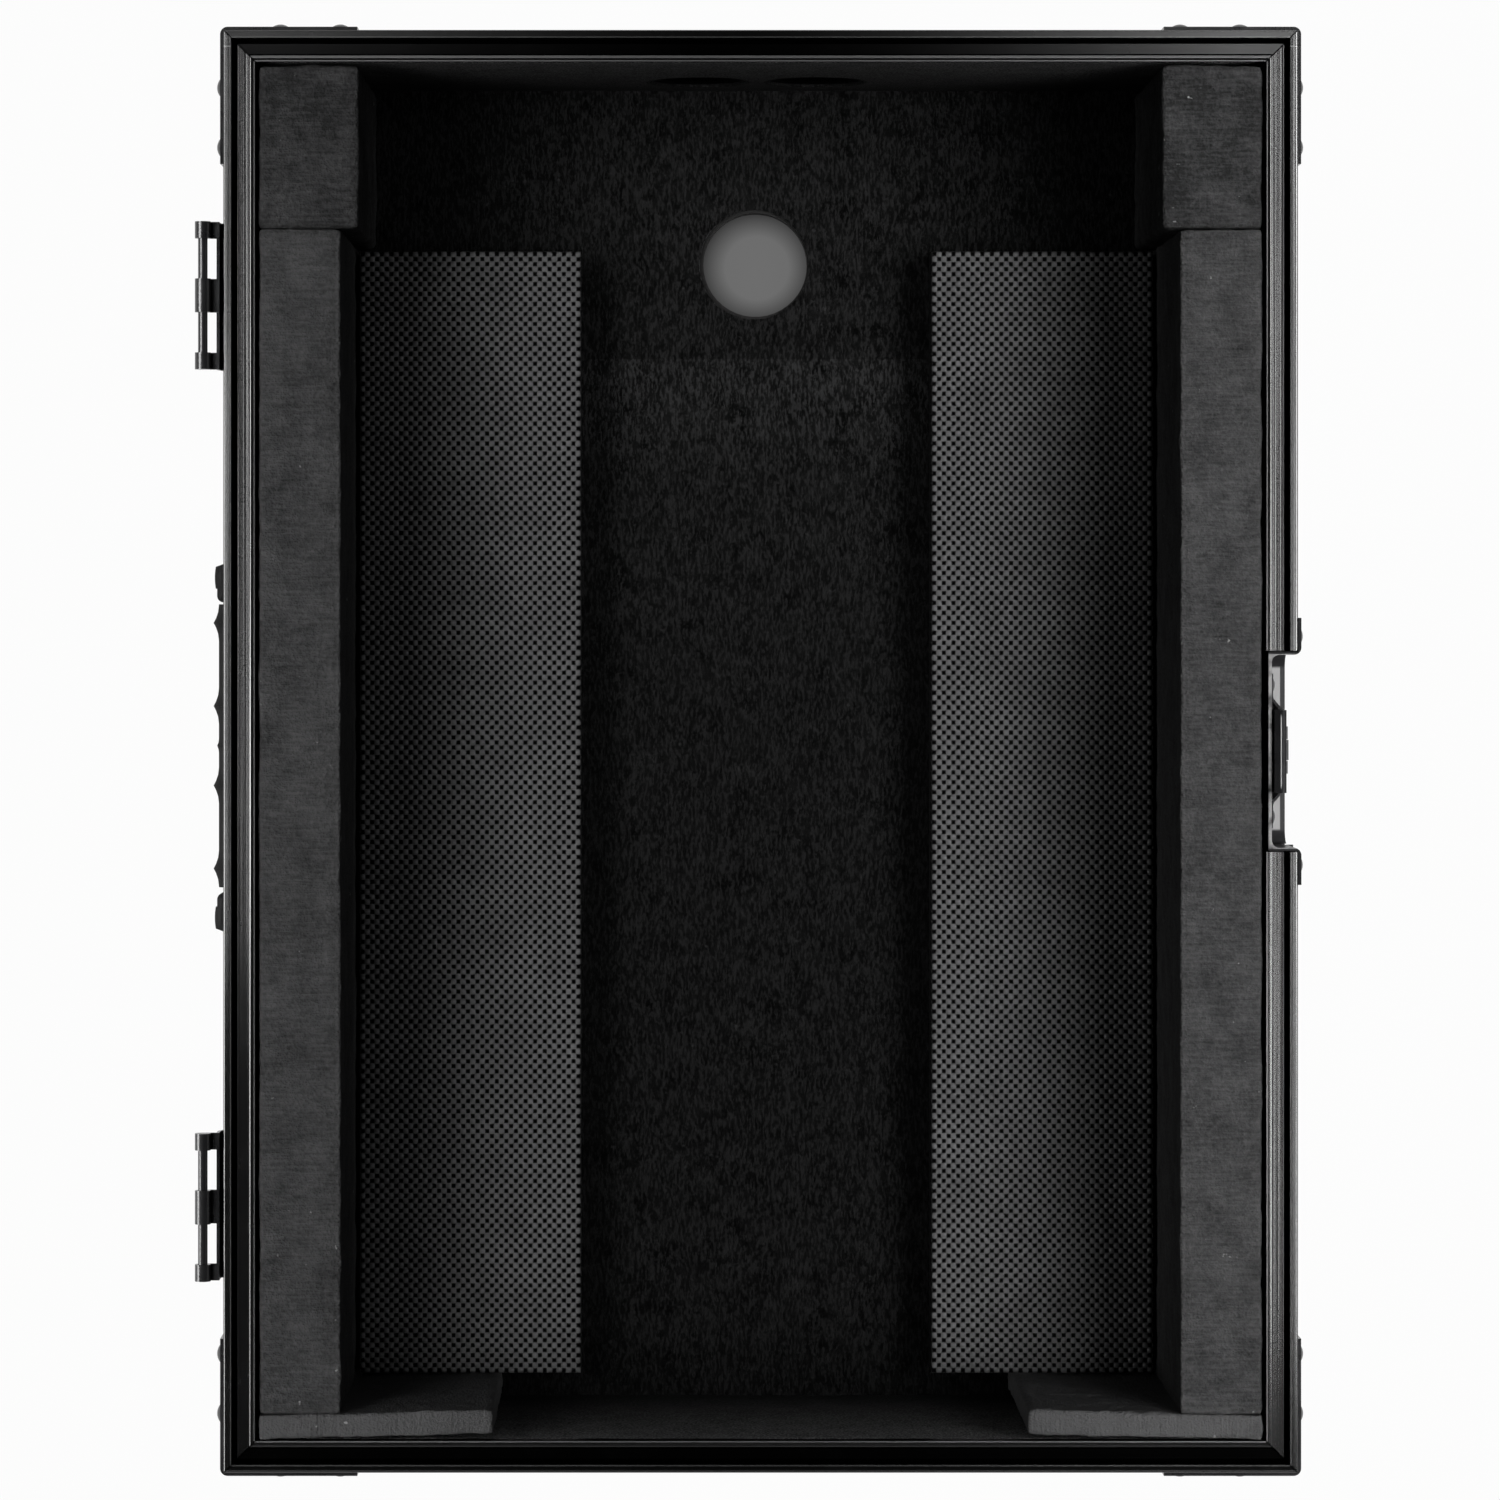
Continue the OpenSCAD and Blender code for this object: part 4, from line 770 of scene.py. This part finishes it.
def sawn_block(name, low, high, finish, lean=0.0, about=None, grain=0.0021):
    """A foam block between two corners, with soft edges and faces that waver."""
    bpy.ops.object.select_all(action="DESELECT")
    centre = [(a + b) / 2 for a, b in zip(low, high)]
    bpy.ops.mesh.primitive_cube_add(size=1, location=centre)
    bpy.context.object.scale = [b - a + 2 * SPARE for a, b in zip(low, high)]
    block = start_piece(name)
    if lean:
        bpy.ops.object.mode_set(mode="EDIT")
        bpy.ops.mesh.select_all(action="SELECT")
        bpy.ops.transform.rotate(value=lean, orient_axis="Z", center_override=about)
        bpy.ops.object.mode_set(mode="OBJECT")
    even = block.modifiers.new("even_faces", "REMESH")
    even.mode = "VOXEL"
    even.voxel_size = grain
    for texture in (slow_waver, fine_waver):
        waver = block.modifiers.new(texture.name, "DISPLACE")
        waver.texture = texture
        waver.texture_coords = "LOCAL"
        waver.strength = WAVER
    fix_modifiers(block)
    bpy.ops.object.shade_smooth()
    block.data.materials.clear()
    block.data.materials.append(finish)
    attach(block, "case")
    return block


def node_corners(name):
    """The two corners of the solid that a soft piece stands for."""
    low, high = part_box(name)
    return list(low), list(high)


for name in ("foam_side_left", "foam_side_right", "foam_rear_left", "foam_rear_right"):
    block = sawn_block("sawn_" + name, *node_corners(name), foam)
    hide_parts(name)
    print(block.name, len(block.data.polygons))

# %% [markdown]
# The two thin strips at the front are glued only at their outer ends, and their free ends stand
# about two millimetres off the wall, so each one is turned a little about its outer end.

# %% Front strips
GLUED_END_X = 0.2005
LEAN = math.radians(1.4)
for name, side in (("foam_front_left", LEFT), ("foam_front_right", RIGHT)):
    low, high = node_corners(name)
    strip = sawn_block("sawn_" + name, low, high, strip_foam, lean=side * LEAN,
                       about=(side * GLUED_END_X, low[1], low[2]), grain=0.0016)
    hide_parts(name)
    ys = [v.co.y / MM for v in strip.data.vertices]
    print(strip.name, len(strip.data.polygons), "Y from", round(min(ys), 2), "to", round(max(ys), 2))

# %% [markdown]
# ## Embossed floor pads
# The two pads are soft moulded sheets with a satin skin, embossed with a net of small deep pits. The
# finish is duller by the depth below the face, and darker by it too: the dark in the pits is painted
# shade.

# %% Pad finish
PIT_TOP_Z, PIT_DARK_Z = 0.0471, 0.0465
pad_skin, shader, start = new_finish("embossed_pad", Specular_IOR_Level=0.12, IOR=1.5)
place = stretched(start)
skin = specks(place, 1500, 2, 0.5)
shade = specks(place, 45, 4, 0.6)
# Painted shade in the pits, by the depth below the face.
pit_shade = place.axes()["Z"].limit(PIT_TOP_Z, PIT_DARK_Z)
pad_tone = (shade.limit(0.25, 0.75) * 0.3 + skin * 0.25 + 0.45) * (1 - pit_shade)
feed(shader,
     Base_Color=pad_tone.blend((0.0015, 0.0015, 0.0015), (0.082, 0.082, 0.083)),
     Roughness=0.36 + 0.08 * shade + 0.08 * skin + 0.4 * pit_shade,
     Normal=raised(skin, 0.25, 0.0004))
print("finish:", pad_skin.name)

# %% [markdown]
# The pits lie in staggered rows, about four millimetres from pit to pit, with a flat web between
# them. A grid with four steps to each repeat carries this with few faces: one vertex goes down
# for every pit, and one rises a little where the web is widest. The border is drawn down, and then
# extruded to the lining.


# %% Pads
def embossed_pad(name, low, high, seed, pitch=(0.00404, 0.00417), pit=0.0026, bump=0.0002,
                 border=0.0005):
    """A pad between two corners, with a face of pits and low bumps."""
    size = [high[0] - low[0], high[1] - low[1]]
    steps = [round(size[k] / pitch[k] * 4) for k in (0, 1)]
    step = [size[k] / steps[k] for k in (0, 1)]
    top = high[2] - bump
    bpy.ops.object.select_all(action="DESELECT")
    bpy.ops.mesh.primitive_grid_add(x_subdivisions=steps[0], y_subdivisions=steps[1], size=1,
                                    location=((low[0] + high[0]) / 2, (low[1] + high[1]) / 2, top))
    bpy.context.object.scale = (size[0], size[1], 1)
    pad = start_piece(name)
    mesh = pad.data
    spots = np.empty(len(mesh.vertices) * 3)
    mesh.vertices.foreach_get("co", spots)
    spots = spots.reshape(-1, 3)
    column = np.rint((spots[:, 0] - low[0]) / step[0]).astype(int)
    row = np.rint((spots[:, 1] - low[1]) / step[1]).astype(int)
    inner = (column > 0) & (column < steps[0]) & (row > 0) & (row < steps[1])
    even = (column % 2 == 1) & (row % 2 == 1)
    pits = inner & even & ((column // 2 + row // 2) % 2 == 0)
    bumps = inner & even & ((column // 2 + row // 2) % 2 == 1)
    for chosen, lift in ((pits, -pit), (bumps, bump), (~inner, -border)):
        bpy.ops.object.mode_set(mode="EDIT")
        bpy.ops.mesh.select_mode(type="VERT")
        bpy.ops.mesh.select_all(action="DESELECT")
        bpy.ops.object.mode_set(mode="OBJECT")
        mesh.vertices.foreach_set("select", chosen)
        bpy.ops.object.mode_set(mode="EDIT")
        bpy.ops.transform.translate(value=(0, 0, lift))
        bpy.ops.object.mode_set(mode="OBJECT")
    bpy.ops.object.mode_set(mode="EDIT")
    bpy.ops.mesh.select_all(action="SELECT")
    bpy.ops.transform.vertex_random(offset=0.00014, uniform=0.0, normal=0.0, seed=seed)
    bpy.ops.mesh.quads_convert_to_tris(quad_method="LONGEST_DIAGONAL", ngon_method="BEAUTY")
    bpy.ops.mesh.region_to_loop()
    bpy.ops.mesh.extrude_region_move(TRANSFORM_OT_translate={"value": (0, 0, low[2] - top)})
    bpy.ops.mesh.edge_face_add()
    bpy.ops.mesh.select_all(action="SELECT")
    bpy.ops.mesh.normals_make_consistent(inside=False)
    bpy.ops.object.mode_set(mode="OBJECT")
    bpy.ops.object.shade_smooth_by_angle(angle=math.radians(75))
    mesh.materials.clear()
    mesh.materials.append(pad_skin)
    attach(pad, "case")
    return pad


for name, seed in (("pad_left", 4), ("pad_right", 9)):
    pad = embossed_pad("embossed_" + name, *node_corners(name), seed)
    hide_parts(name)
    zs = [v.co.z / MM for v in pad.data.vertices]
    print(pad.name, len(pad.data.polygons), "Z", round(min(zs), 2), round(max(zs), 2))
